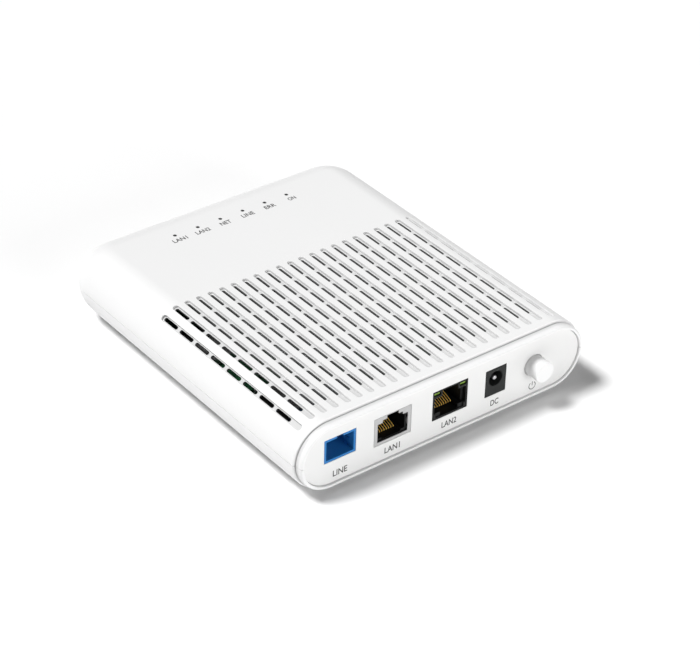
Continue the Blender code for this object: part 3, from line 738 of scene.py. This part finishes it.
class TERMINAL_OT_top_cover(Build, bpy.types.Operator):
    """Top cover: full-round edges, vent grooves with slots, light holes, neck and rim"""
    bl_idname = "terminal.top_cover"
    bl_label = "Top cover"

    def build(self, scene):
        housing = self.housing
        pitch = housing.groove_pitch / MM
        count = housing.groove_count
        half = housing.groove_width / MM / 2
        limits = length_at(GROOVE_MIDDLE + (np.arange(count + 1) - count / 2) * pitch)
        cells = limits[:-1, None] + np.diff(limits)[:, None] * GROOVE_CELLS
        light_cell = np.linspace(-LIGHT_WINDOW, LIGHT_WINDOW, 5)
        light_lines = LIGHTS[:, None] + light_cell
        s_values = grid_lines(cells.ravel(), limits[-1:], light_lines.ravel())
        borders = slot_borders(housing)
        between = borders[:-1, None] + SLOT_LINES
        groove_y = np.concatenate([
            [GROOVE_NEAR - 1.0, GROOVE_NEAR + half / 4, GROOVE_NEAR + half], between.ravel(),
            [GROOVE_FAR - half, GROOVE_FAR - half / 4, GROOVE_FAR + 1.0]])
        groove_y = groove_y[groove_y < GROOVE_FAR - half + 2.3]
        y_values = grid_lines(groove_y, [30.0, 45.0], LIGHTS_Y + light_cell, [CORNER_Y])
        limits = np.round(limits, 3)
        grooves = [(a, b, round(GROOVE_NEAR - 1.0, 3), round(GROOVE_FAR + 1.0, 3))
                   for a, b in zip(limits, limits[1:])]
        holes = [window_at(x, LIGHTS_Y, LIGHT_WINDOW, LIGHT_WINDOW) for x in LIGHTS]
        skin, s_all = cover(1, s_values, y_values, grooves + holes, grooves + holes,
                            housing.parting_gap / MM)
        for window in grooves:
            vent_groove(skin, s_all, y_values, window, housing)
        for window in holes:
            core = (0.0, 0.0, LIGHTS_Y, LIGHTS_Y)
            sunk(skin, 1, s_all, y_values, window, core, LIGHT_RINGS, through=True)
        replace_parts(mark_depth(skin.piece("top_cover_shell", "housing")), "top_cover")


FOOT_RADIUS = 6.0
FOOT_REACH = FOOT_RADIUS + 0.25                 # radius of a foot's recess
SCREW_WINDOW = 4.6                              # half of the grid window round a screw's hole
VENT_BANKS = (86.0, 116.0)                      # middles of the lower vent banks, from the panel
VENT_COUNT, VENT_PITCH, VENT_HALF = 13, 5.2, 11.2
LABEL_MIDDLE, LABEL_HALF = PANEL_FACE + 41.0, (22.0, 13.0)
# Rings of the recesses as (radius, depth), from the softened edge down
FOOT_RINGS = ((FOOT_REACH + 0.15, 0.0), (FOOT_REACH + 0.04, 0.04), (FOOT_REACH, 0.15), (FOOT_REACH, 0.6))
SCREW_RINGS = ((3.5, 0.0), (3.34, 0.06), (3.3, 0.2), (3.3, 4.6))
BOSS_RINGS = ((4.4, WALL), (4.4, 7.0))          # the boss inside round a screw's hole
VENT_RINGS = ((1.05, 0.0), (0.86, 0.05), (0.8, 0.2), (0.8, WALL))
LABEL_RINGS = ((1.15, 0.0), (1.04, 0.05), (1.0, 0.2), (1.0, 0.5))
FOOT_PLACES = [(sx * 44.0, PANEL_FACE + d) for d in (14.0, 129.0) for sx in (-1, 1)]
SCREW_PLACES = [(sx * 47.0, PANEL_FACE + d) for d in (50.0, 100.0) for sx in (-1, 1)]


def ring_lines(centre, half, count):
    """Lines across a round window, closer together near its sides."""
    return centre + half * np.sin(np.linspace(-math.pi / 2, math.pi / 2, count))


class TERMINAL_OT_bottom_cover(Build, bpy.types.Operator):
    """Bottom cover: full-round edges, two banks of vents, foot, screw and label recesses, neck and rim"""
    bl_idname = "terminal.bottom_cover"
    bl_label = "Bottom cover"

    def build(self, scene):
        s_lines, y_lines, windows, inner, jobs = [], [], [], [], []

        def window(x, y, half_x, half_y, count, core, rings, **more):
            box = window_at(x, y, half_x, half_y)
            s_lines.append(ring_lines(x, half_x, count))
            y_lines.append(ring_lines(y, half_y, count))
            windows.append(box)
            if more:
                inner.append(box)
            jobs.append((box, core, rings, more))

        for x, y in FOOT_PLACES:
            window(x, y, FOOT_REACH + 0.6, FOOT_REACH + 0.6, 11, (0, 0, y, y), FOOT_RINGS)
        for x, y in SCREW_PLACES:
            window(x, y, SCREW_WINDOW, SCREW_WINDOW, 9, (0, 0, y, y), SCREW_RINGS, inner_rings=BOSS_RINGS)
        for bank in VENT_BANKS:
            y = PANEL_FACE + bank
            for i in range(VENT_COUNT):
                window((i - VENT_COUNT // 2) * VENT_PITCH, y, VENT_PITCH / 2, VENT_HALF + 1.8, 5,
                       (0, 0, y - VENT_HALF, y + VENT_HALF), VENT_RINGS, through=True)
        half_x, half_y = LABEL_HALF
        core = (1 - half_x, half_x - 1, LABEL_MIDDLE + 1 - half_y, LABEL_MIDDLE + half_y - 1)
        window(0.0, LABEL_MIDDLE, half_x + 1, half_y + 1, 3, core, LABEL_RINGS)
        s_values = grid_lines(*s_lines)
        y_values = grid_lines(*y_lines, [SHOULDER + 1.5, CORNER_Y])
        y_values = y_values[y_values <= CORNER_Y + LEAST]
        skin, s_all = cover(-1, s_values, y_values, windows, inner, self.housing.parting_gap / MM)
        for box, core, rings, more in jobs:
            sunk(skin, -1, s_all, y_values, box, core, rings, **more)
        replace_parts(mark_depth(skin.piece("bottom_cover_shell", "housing")), "bottom_cover")


FLOOR_HALF = 4000.0
KEY_FROM, KEY_ANGLE = (-0.42, 0.26, 0.87), math.radians(17.0)
FRONT_FROM, FRONT_SIZE = (0.14, -1.25, 0.27), 0.7               # metres
CAMERA_LENS = 122.67
CAMERA_PLACE = (-454.91, -596.53, 514.67)
CAMERA_TURNS = (-38.119, 90.0 - 33.933, 1.415)                  # heading, tilt and roll in degrees


class TERMINAL_OT_stage(Build, bpy.types.Operator):
    """Finishes, pale floor, faint tent light, soft key light, low soft box and the camera"""
    bl_idname = "terminal.stage"
    bl_label = "Stage"

    def build(self, scene):
        stage = scene.terminal_stage
        world = bpy.data.worlds.new("white_tent")
        world.use_nodes = True
        world.node_tree.nodes["Background"].inputs[0].default_value = (1.0, 1.0, 1.0, 1.0)
        world.node_tree.nodes["Background"].inputs[1].default_value = stage.tent_strength
        scene.world = world
        scene.view_settings.view_transform = "Standard"

        make_finishes(self.housing, self.ports)
        line = np.linspace(-FLOOR_HALF, FLOOR_HALF, 9)
        grid = Skin()
        grid.grid(flat_points(line[:, None], line[None], 0.0))
        mesh = bpy.data.meshes.new("floor")
        mesh.from_pydata((grid.points[0] * MM).tolist(), [], grid.faces)
        mesh.materials.append(FINISHES["floor"])
        floor = bpy.data.objects.new("floor", mesh)
        scene.collection.objects.link(floor)

        key = bpy.data.lights.new("key", "SUN")
        key.energy = stage.key_strength
        key.angle = KEY_ANGLE
        self.aim("key", key, KEY_FROM)
        front = bpy.data.lights.new("front", "AREA")
        front.size = FRONT_SIZE
        front.energy = stage.front_power
        self.aim("front", front, FRONT_FROM)

        camera = bpy.data.cameras.new("camera")
        camera.sensor_width = 36.0
        camera.lens = CAMERA_LENS
        camera.clip_start = 0.05
        view = bpy.data.objects.new("camera", camera)
        view.matrix_world = Matrix.Translation(Vector(CAMERA_PLACE) * MM)
        for angle, axis in zip(CAMERA_TURNS, "ZXZ"):
            view.matrix_world = view.matrix_world @ Matrix.Rotation(math.radians(angle), 4, axis)
        scene.collection.objects.link(view)
        scene.camera = view

    @staticmethod
    def aim(name, light, place):
        """A lamp at place that looks at the object."""
        lamp = bpy.data.objects.new(name, light)
        lamp.location = place
        lamp.rotation_euler = (-Vector(place)).to_track_quat("-Z", "Y").to_euler()
        bpy.context.scene.collection.objects.link(lamp)


def power_symbol(centre, radius, line):
    """Flat outline of a broken ring and a bar, as (x, z) loops between an inner and an outer radius."""
    angle = np.linspace(math.radians(125.0), math.radians(415.0), 33)
    reach = np.array([radius - line / 2, radius + line / 2])[:, None]
    ring = np.stack([centre[0] + reach * np.cos(angle), centre[1] + reach * np.sin(angle)], -1)
    x = centre[0] + np.array([-line / 2, line / 2])
    z = centre[1] + np.array([0.05, radius + line])
    bar = np.stack(np.broadcast_arrays(x[:, None], z[None]), -1)
    return [ring, bar]


def words(text, height, width):
    """Points and faces of a word in the built-in typeface, centred, with capitals of that height, narrowed
    or widened to that width."""
    curve = bpy.data.curves.new(text, "FONT")
    curve.body = text
    curve.resolution_u = 4
    curve.offset = INK_SPREAD
    holder = bpy.data.objects.new(text, curve)
    bpy.context.scene.collection.objects.link(holder)
    mesh = bpy.data.meshes.new_from_object(holder.evaluated_get(bpy.context.evaluated_depsgraph_get()))
    points = np.zeros(len(mesh.vertices) * 3)
    mesh.vertices.foreach_get("co", points)
    points = points.reshape(-1, 3)[:, :2]
    faces = [list(polygon.vertices) for polygon in mesh.polygons]
    bpy.data.objects.remove(holder)
    bpy.data.meshes.remove(mesh)
    bpy.data.curves.remove(curve)
    low, high = points.min(0), points.max(0)
    return (points - (low + high) / 2) * np.array([width, height]) / (high - low), faces


class Printing(Skin):
    """Flat printed marks that stand a hair above a surface."""

    def word(self, text, height, width, place):
        points, faces = words(text, height, width)
        self.points.append(place(points[:, 0], points[:, 1]))
        self.faces += [[index + self.count for index in face] for face in faces]
        self.count += len(points)


KEEP_X, KEEP_Z = 55.6, 8.7                      # the part of the panel's grid that stays rectangular


def stadium_height(x, z, high):
    """Height on a plate with half-round ends for a point of its rectangular grid. Up to KEEP_X and KEEP_Z
    from the middle nothing moves; above KEEP_Z heights are squeezed under the outline, and beyond KEEP_X
    a column is scaled with the outline's height sqrt(high^2 - (|x| - FLAT)^2)."""
    def outline(distance):
        return np.sqrt(np.clip(high ** 2 - np.clip(distance - FLAT, 0.0, None) ** 2, 0.0, None))

    distance = np.abs(x)
    up = z - MID
    here = outline(np.minimum(distance, KEEP_X))
    over = np.clip(np.abs(up) - KEEP_Z, 0.0, None) * (here - KEEP_Z) / (high - KEEP_Z)
    squeezed = np.sign(up) * (np.minimum(np.abs(up), KEEP_Z) + over)
    return MID + squeezed * outline(distance) / here


def plate(skin, x_values, z_values, y0, y1, windows, high):
    """Front, back and edge of a plate in the XZ plane with half-round ends and holes through it; windows are
    (box, core, radius) of the rounded holes."""
    boxes = [window[0] for window in windows]
    keep = outside(x_values, z_values, boxes)
    z = stadium_height(x_values[:, None], z_values[None], high)
    for y in (y0, y1):
        skin.grid(flat_points(x_values[:, None], y, z), keep)
    u, v = around(x_values, z_values, (x_values[0], x_values[-1], z_values[0], z_values[-1]))
    v = stadium_height(u, v, high)
    skin.ring([flat_points(u, y0, v), flat_points(u, y1, v)])
    for box, core, radius in windows:
        u, v = around(x_values, z_values, box)
        a, b = towards(u, v, core, radius)
        skin.ring([flat_points(u, y0, v), flat_points(a, y0, b), flat_points(a, y1, b),
                   flat_points(u, y1, v)])


def flat_points(x, y, z):
    return np.stack(np.broadcast_arrays(x, y, z), axis=-1).astype(float)


def port_box(node):
    """Panel window for a port: its box on the grid, its core and its corner radius."""
    low, high = span(node)
    if node == "fibre_receptacle":
        low[2] = high[2] - FIBRE_FACE_HEIGHT
    middle = (low + high)[[0, 2]] / 2
    half = (high - low)[[0, 2]] / 2 + PORT_CLEARANCE
    box = window_at(*middle, *(half + PORT_MARGIN))
    low, high = middle - half + PORT_CORNER, middle + half - PORT_CORNER
    return box, (low[0], high[0], low[1], high[1]), PORT_CORNER


PANEL_THICKNESS, PANEL_GAP = 1.5, 0.16
PORT_CLEARANCE, PORT_MARGIN, PORT_CORNER = 0.12, 0.5, 0.2
FIBRE_FACE_HEIGHT = 9.8                         # the receptacle also has a leg down to the board
FIBRE_HALF, FIBRE_DEPTH = 6.85, 20.0
SLEEVE_RADII, BOSS_RADIUS = (1.2, 1.6), 2.6
BUTTON_LOW, BUTTON_HIGH = span("power_button")
BUTTON_X = (BUTTON_LOW[0] + BUTTON_HIGH[0]) / 2
BUTTON_Z = (BUTTON_LOW[2] + BUTTON_HIGH[2]) / 2


class TERMINAL_OT_port_panel(Build, bpy.types.Operator):
    """Recessed port panel with tight cut-outs, a hair smaller than the rim's opening"""
    bl_idname = "terminal.port_panel"
    bl_label = "Port panel"

    def build(self, scene):
        windows = [port_box(node) for node in
                   ("fibre_receptacle", "fast_jack_shield", "lan_jack_body", "power_jack_body")]
        reach = self.ports.button_radius / MM + 0.2
        windows.append((window_at(BUTTON_X, BUTTON_Z, reach + PORT_MARGIN, reach + PORT_MARGIN),
                        (BUTTON_X, BUTTON_X, BUTTON_Z, BUTTON_Z), reach))
        high = round(EDGE - RIM_INNER - PANEL_GAP, 3)
        ends = FLAT + high * np.sin(np.linspace(0.0, math.pi / 2, 17))
        x_lines, z_lines = [-ends, ends, [-KEEP_X, KEEP_X]], [np.array([-high, 0.0, high])]
        for box, core, radius in windows:
            count = 13 if radius > 1 else 2
            for place, found, zero in ((0, x_lines, 0.0), (2, z_lines, MID)):
                start, end = box[place], box[place + 1]
                found.append(ring_lines((start + end) / 2, (end - start) / 2, count) - zero)
                if radius < 1:
                    start, end = core[place], core[place + 1]
                    found.append(np.array([start, end, start - 0.3, end + 0.3]) - zero)
        x_values = grid_lines(*x_lines)
        z_values = MID + grid_lines(*z_lines, *(-line for line in z_lines))
        skin = Skin()
        plate(skin, x_values, z_values, PANEL_FACE, PANEL_FACE + PANEL_THICKNESS, windows, high)
        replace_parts(skin.piece("port_panel_plate", "panel", bevel=0.1), "port_panel")


class TERMINAL_OT_fibre_port(Build, bpy.types.Operator):
    """Blue optical receptacle with its key notch and latch seats, the boss in it and the ceramic sleeve"""
    bl_idname = "terminal.fibre_port"
    bl_label = "Fibre port"

    def build(self, scene):
        low, high = span("fibre_receptacle")
        x, y, z = (low[0] + high[0]) / 2, low[1], high[2] - FIBRE_FACE_HEIGHT
        body = Skin()
        latch_seats = ((x - 6.35, y + 3.0, z + 4.0), (x + 6.35, y + 6.0, z + 6.0))
        blocks(body, [((x - FIBRE_HALF, y, z), (x + FIBRE_HALF, y + FIBRE_DEPTH, high[2]))],
               [*mouth(x, y, z, FIBRE_MOUTH), latch_seats])
        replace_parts(body.piece("fibre_receptacle_body", "blue_plastic", bevel=0.22), "fibre_receptacle")
        sleeve_low, sleeve_high = span("ferrule_sleeve")
        middle = ((sleeve_low[0] + sleeve_high[0]) / 2, (sleeve_low[2] + sleeve_high[2]) / 2)
        start, end = sleeve_low[1], sleeve_high[1] - 3.3
        bore, outer = SLEEVE_RADII
        sleeve = Skin()
        outline = [(end, bore), (start, bore), (start, outer), (end, outer), (end, bore)]
        turned(sleeve, middle, rounded(outline, [0.12, 0.12, 0.0], 3))
        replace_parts(sleeve.piece("ceramic_sleeve", "ceramic"), "ferrule_sleeve")
        boss = Skin()
        start, end = y + 12.0, y + 16.4
        outline = [(start, 0.0), (start, BOSS_RADIUS), (end, BOSS_RADIUS), (end, 0.0)]
        turned(boss, middle, rounded(outline, [0.3, 0.0], 3))
        boss.piece("receptacle_boss", "blue_plastic")


# The ports' mouths as steps of (half width, bottom, top, depth), from the port's middle, foot and face
FIBRE_MOUTH = ((5.95, 0.9, 8.9, 16.5), (1.3, 8.0, 11.0, 6.0))
SHIELD_MOUTH = ((6.75, 1.25, 9.2, 1.0), (4.5, 9.0, 10.35, 1.0))
LINER_MOUTH = ((5.95, 2.3, 8.9, 17.0), (4.3, 1.5, 2.4, 17.0), (4.0, 8.8, 10.0, 17.0), (2.6, 9.9, 10.8, 17.0))
PLAIN_MOUTH = ((6.1, 2.5, 9.4, 17.0), (4.1, 0.8, 2.6, 17.0), (7.2, 2.6, 9.5, 1.6), (6.4, 0.8, 2.8, 0.5),
               (3.7, 9.3, 10.4, 17.0), (3.6, 10.3, 11.9, 17.0))
WIRE_COUNT, WIRE_PITCH, WIRE_RADIUS = 8, 1.02, 0.17
WIRE_SLOPE = math.tan(math.radians(20.5))


def mouth(x, y, z, steps):
    """The hollow boxes of a stepped mouth."""
    return [((x - half, y - 1, z + bottom), (x + half, y + depth, z + top))
            for half, bottom, top, depth in steps]


def contacts(name, node, front):
    """Round spring wires: a short nose, a straight slope up to the back and a bend into the comb."""
    low, high = span(node)
    x, base = (low[0] + high[0]) / 2, low[2]
    back = high[1] - 1.2
    skin = Skin()
    top = base + 0.2 + (back - front) * WIRE_SLOPE
    path = rounded([(front + 0.5, base - 0.35), (front, base + 0.2), (back, top), (back + 0.5, base + 6.0)],
                   [0.28, 0.8], 5)
    for i in range(WIRE_COUNT):
        middle = np.full((len(path), 1), x + (i - (WIRE_COUNT - 1) / 2) * WIRE_PITCH)
        tube(skin, np.concatenate([middle, path], axis=1), WIRE_RADIUS)
    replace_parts(skin.piece(name, "gold", sharp=60.0), node)


class TERMINAL_OT_network_ports(Build, bpy.types.Operator):
    """Shielded and plain network jacks with stepped mouths, contacts and light windows"""
    bl_idname = "terminal.network_ports"
    bl_label = "Network ports"

    def build(self, scene):
        self.shielded()
        self.plain()

    def shielded(self):
        low, high = span("fast_jack_shield")
        x, y, z = (low[0] + high[0]) / 2, low[1], low[2]
        depth, tall = high[1] - y, high[2] - z
        shield = Skin()
        blocks(shield, [((low[0], y, z), (high[0], y + depth, high[2]))],
               [((low[0] + 0.4, y + 0.5, z + 0.4), (high[0] - 0.4, y + depth + 1, high[2] - 0.4)),
                *mouth(x, y, z, (*SHIELD_MOUTH, (2.55, 10.0, tall - 0.25, 1.0)))])
        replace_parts(shield.piece("fast_jack_shell", "nickel", bevel=0.14), "fast_jack_shield")
        springs = Skin()
        across = np.linspace(-1.0, 1.0, 9)[:, None]
        along = np.linspace(0.0, 1.0, 7)[None]
        up = z + 5.2 + 1.5 * across
        back = y + 0.05 + 3.0 * along
        bulge = 0.3 * (1 - across ** 2) * np.sin(math.pi * along)
        for sign in (-1, 1):
            outer = flat_points(x + sign * (6.75 - bulge), back, up)
            inner = flat_points(x + sign * 7.0, back, up)
            springs.grid(outer)
            springs.grid(inner)
            for row in (0, -1):
                springs.grid(np.stack([outer[row], inner[row]]))
                springs.grid(np.stack([outer[:, row], inner[:, row]]))
        springs.piece("fast_jack_springs", "nickel")
        insert = Skin()
        blocks(insert, [((x - 7.5, y + 0.8, z + 0.7), (x + 7.5, y + depth - 0.5, z + tall - 0.7))],
               mouth(x, y, z, LINER_MOUTH))
        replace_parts(insert.piece("fast_jack_liner", "black_plastic", bevel=0.12), "fast_jack_insert")
        contacts("fast_jack_wires", "fast_jack_contacts", y + 3.9)

    def plain(self):
        low, high = span("lan_jack_body")
        x, y, z = (low[0] + high[0]) / 2, low[1], low[2]
        depth = high[1] - y
        carved = mouth(x, y, z, PLAIN_MOUTH)
        for node in ("lan_jack_light_left", "lan_jack_light_right"):
            window_low, window_high = span(node)
            reach = np.array([0.12, 0.0, 0.12])
            carved.append((window_low - reach - np.array([0, 2, 0]), window_high + reach))
            lens = Skin()
            blocks(lens, [(window_low, window_high)])
            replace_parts(lens.piece(node + "_lens", "light_window", bevel=0.15), node)
        body = Skin()
        blocks(body, [((x - 8, y, z), (x + 8, y + depth, high[2]))], carved)
        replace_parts(body.piece("lan_jack_housing", "black_plastic", bevel=0.14), "lan_jack_body")
        contacts("lan_jack_wires", "lan_jack_contacts", y + 3.75)


BORE_RINGS = ((3.32, 0.0), (3.16, 0.06), (3.08, 0.22), (3.08, 10.0))         # (radius, depth) of the bore
BORE_WINDOW, PIN_RADIUS = 3.9, 0.97


class TERMINAL_OT_power_inlet(Build, bpy.types.Operator):
    """Round power inlet with a chamfered bore, and its centre pin"""
    bl_idname = "terminal.power_inlet"
    bl_label = "Power inlet"

    def build(self, scene):
        low, high = span("power_jack_body")
        pin_low, pin_high = span("power_jack_pin")
        x, z = (pin_low[0] + pin_high[0]) / 2, (pin_low[2] + pin_high[2]) / 2
        y = low[1]
        x_values = grid_lines([low[0], high[0]], ring_lines(x, BORE_WINDOW, 17))
        z_values = grid_lines([low[2], high[2]], ring_lines(z, BORE_WINDOW, 17))
        box = window_at(x, z, BORE_WINDOW, BORE_WINDOW)
        body = Skin()
        body.grid(flat_points(x_values[:, None], y, z_values[None]), outside(x_values, z_values, [box]))
        u, v = around(x_values, z_values, box)
        rows = [flat_points(u, y, v)]
        for radius, depth in BORE_RINGS:
            a, b = towards(u, v, (x, x, z, z), radius)
            rows.append(flat_points(a, y + depth, b))
        body.ring(rows)
        body.cap(rows[-1])
        u, v = around(x_values, z_values, (low[0], high[0], low[2], high[2]))
        body.ring([flat_points(u, y, v), flat_points(u, high[1], v)])
        body.cap(flat_points(u, high[1], v))
        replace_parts(body.piece("power_inlet_body", "charcoal_plastic"), "power_jack_body")
        pin = Skin()
        tip, end = pin_low[1], pin_high[1] - 0.5
        outline = [(tip, 0.0), (tip, PIN_RADIUS), (end, PIN_RADIUS), (end, 0.0)]
        turned(pin, (x, z), rounded(outline, [0.55, 0.0], 6), 24)
        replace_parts(pin.piece("power_inlet_pin", "steel"), "power_jack_pin")


COLLAR_RADIUS, SKIRT_RADIUS, SPRING_BORE, PLUNGER_BORE = 5.2, 3.4, 3.06, 2.3


class TERMINAL_OT_power_button(Build, bpy.types.Operator):
    """Round push button with a softly dished face, a collar, and bores for the spring and the plunger"""
    bl_idname = "terminal.power_button"
    bl_label = "Power button"

    def build(self, scene):
        radius = self.ports.button_radius / MM
        front = BUTTON_LOW[1]
        collar, skirt = PANEL_FACE + 3.4, PANEL_FACE + 4.6
        bore, socket = PANEL_FACE + 5.2, PANEL_FACE + 4.4
        back = BUTTON_HIGH[1]
        corners = [(front + 0.12, 0.0), (front + 0.02, radius * 0.55), (front, radius - 0.35),
                   (front, radius), (collar, radius), (collar, COLLAR_RADIUS), (skirt, COLLAR_RADIUS),
                   (skirt, SKIRT_RADIUS), (back, SKIRT_RADIUS), (back, SPRING_BORE), (bore, SPRING_BORE),
                   (bore, PLUNGER_BORE), (socket, PLUNGER_BORE), (socket, 0.0)]
        radii = [6.0, 0.0, 0.34, 0.0, 0.2, 0.2, 0.0, 0.1, 0.1, 0.2, 0.0, 0.2]
        skin = Skin()
        turned(skin, (BUTTON_X, BUTTON_Z), rounded(corners, radii, 5), 64)
        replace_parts(skin.piece("power_button_cap", "button_plastic", body="button"), "power_button")


class TERMINAL_OT_lights(Build, bpy.types.Operator):
    """Light guide: a bar, legs down to the board and round ends in the six holes of the top"""
    bl_idname = "terminal.lights"
    bl_label = "Status lights"

    def build(self, scene):
        low, high = span("light_guide")
        top = TOP_HIGH[2]
        skin = Skin()
        blocks(skin, [((low[0], low[1], BAR_LOW), (high[0], high[1], BAR_HIGH))])
        for x in LIGHTS:
            below, above = BAR_LOW + 0.1, BAR_HIGH - 0.1
            for ends in ([(low[2], 0.0), (low[2], 0.55), (below, 0.55), (below, 0.0)],
                         [(above, 0.0), (above, 0.6), (top - 0.14, 0.7), (top - 0.06, 0.0)]):
                turned(skin, (x, LIGHTS_Y), rounded(ends, [0.0, 0.12], 3), 20, upright=True)
        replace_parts(skin.piece("light_guide_pipes", "light_pipe"), "light_guide")


INK_HEIGHT, INK_SPREAD = 0.012, 0.017           # over the surface; growth of a stroke for height 1
LIGHT_CAPITALS, PORT_CAPITALS = 2.3, 2.6        # heights of the words
SYMBOL_RADIUS, SYMBOL_LINE = 1.55, 0.32
LIGHT_WORDS = (("LAN1", 6.4), ("LAN2", 6.4), ("NET", 4.8), ("LINE", 5.6), ("ERR", 5.0), ("ON", 3.4))
PORT_WORDS = (("LINE", 6.3, -47.2), ("LAN1", 6.9, -24.0), ("LAN2", 6.9, 2.0), ("DC", 3.8, 23.4))


class TERMINAL_OT_lettering(Build, bpy.types.Operator):
    """Plain printed words for the lights and ports, and a power symbol"""
    bl_idname = "terminal.lettering"
    bl_label = "Lettering"

    def build(self, scene):
        above = TOP_HIGH[2] + INK_HEIGHT
        lights = Printing()
        for x, (text, width) in zip(LIGHTS, LIGHT_WORDS):
            lights.word(text, LIGHT_CAPITALS, width,
                        lambda u, v, x=x: flat_points(x + u, LIGHTS_Y - 3.6 + v, above))
        lights.piece("light_words", "ink", closed=False)
        before, below = PANEL_FACE - INK_HEIGHT, MID - 8.3
        ports = Printing()
        for text, width, x in PORT_WORDS:
            ports.word(text, PORT_CAPITALS, width, lambda u, v, x=x: flat_points(x + u, before, below + v))
        for loops in power_symbol((BUTTON_X, MID - 8.5), SYMBOL_RADIUS, SYMBOL_LINE):
            ports.grid(flat_points(loops[..., 0], before, loops[..., 1]))
        ports.piece("port_words", "ink", closed=False)


# A screw's shank and head as (radius, height), from the tip of the shank to the flat of the head
SCREW_OUTLINE = ((1.2, 9.0), (1.2, 1.9), (2.8, 1.8), (2.8, 0.7), (2.55, 0.3), (2.1, 0.08), (1.6, 0.0))


class TERMINAL_OT_underside(Build, bpy.types.Operator):
    """Rubber feet, recessed cover screws and the blank label"""
    bl_idname = "terminal.underside"
    bl_label = "Feet, screws and label"

    def build(self, scene):
        for i, place in enumerate(FOOT_PLACES, 1):
            foot = Skin()
            profile = rounded([(1.4, 0.0), (1.4, FOOT_RADIUS), (0.0, FOOT_RADIUS), (0.0, 3.6), (0.25, 3.3),
                               (0.25, 0.0)], [0.0, 0.45, 0.1, 0.1], 5)
            turned(foot, place, profile, 48, upright=True)
            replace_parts(foot.piece(f"foot_pad_{i}", "rubber"), f"rubber_foot_{i}")
        for i, place in enumerate(SCREW_PLACES, 1):
            node = f"cover_screw_{i}"
            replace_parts(self.screw(f"recessed_screw_{i}", place, span(node)[0][2]), node)
        low, high = span("rating_label")
        label = Skin()
        blocks(label, [(low, high)])
        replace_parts(label.piece("blank_label", "label", bevel=0.05), "rating_label")

    @staticmethod
    def screw(name, place, start):
        """Pan head with a cross recess: radius of the recess wall swings between a slot's end and its root
        four times round."""
        skin = Skin()
        angle = np.linspace(0.0, math.tau, 48, endpoint=False)
        cross = 0.42 + 0.95 * np.clip(np.abs(np.cos(2 * angle)), 0.0, 1.0) ** 12
        rows = [*SCREW_OUTLINE, (cross, 0.0), (cross * 0.75, 1.0)]
        grid = np.stack([flat_points(place[0] + reach * np.cos(angle), place[1] + reach * np.sin(angle),
                                     start + height) for reach, height in rows])
        skin.grid(grid, loop=True)
        skin.cap(grid[0])
        skin.cap(grid[-1])
        return skin.piece(name, "steel")


class TERMINAL_OT_inner_parts(Build, bpy.types.Operator):
    """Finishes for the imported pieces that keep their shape: the board, its parts and the switch"""
    bl_idname = "terminal.inner_parts"
    bl_label = "Inner parts"

    def build(self, scene):
        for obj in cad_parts.values():
            for number, old in enumerate(obj.data.materials):
                look = old.name.split(".")[0]
                look = {"white_plastic": "pin_plastic", "panel_plastic": "panel"}.get(look, look)
                obj.data.materials[number] = FINISHES[look]


class TERMINAL_PT_panel(bpy.types.Panel):
    """Lists the settings and the steps"""
    bl_idname = "TERMINAL_PT_panel"
    bl_label = "Network terminal"
    bl_space_type = "VIEW_3D"
    bl_region_type = "UI"
    bl_category = "Terminal"

    def draw(self, context):
        scene = context.scene
        for group in (scene.terminal_housing, scene.terminal_ports, scene.terminal_stage):
            box = self.layout.box()
            for setting in group.__annotations__:
                box.prop(group, setting)
        for step in STEPS:
            self.layout.operator(step.bl_idname)


STEPS = (
    TERMINAL_OT_stage, TERMINAL_OT_top_cover, TERMINAL_OT_bottom_cover, TERMINAL_OT_port_panel,
    TERMINAL_OT_fibre_port, TERMINAL_OT_network_ports, TERMINAL_OT_power_inlet, TERMINAL_OT_power_button,
    TERMINAL_OT_lights, TERMINAL_OT_lettering, TERMINAL_OT_underside, TERMINAL_OT_inner_parts,
)
CLASSES = (HousingSettings, PortSettings, StageSettings, *STEPS, TERMINAL_PT_panel)


def register():
    for entry in CLASSES:
        bpy.utils.register_class(entry)
    bpy.types.Scene.terminal_housing = bpy.props.PointerProperty(type=HousingSettings)
    bpy.types.Scene.terminal_ports = bpy.props.PointerProperty(type=PortSettings)
    bpy.types.Scene.terminal_stage = bpy.props.PointerProperty(type=StageSettings)


def unregister():
    del bpy.types.Scene.terminal_stage
    del bpy.types.Scene.terminal_ports
    del bpy.types.Scene.terminal_housing
    for entry in reversed(CLASSES):
        bpy.utils.unregister_class(entry)


def main():
    register()
    for step in STEPS:
        getattr(bpy.ops.terminal, step.bl_idname.split(".")[1])()


if __name__ == "__main__":
    main()
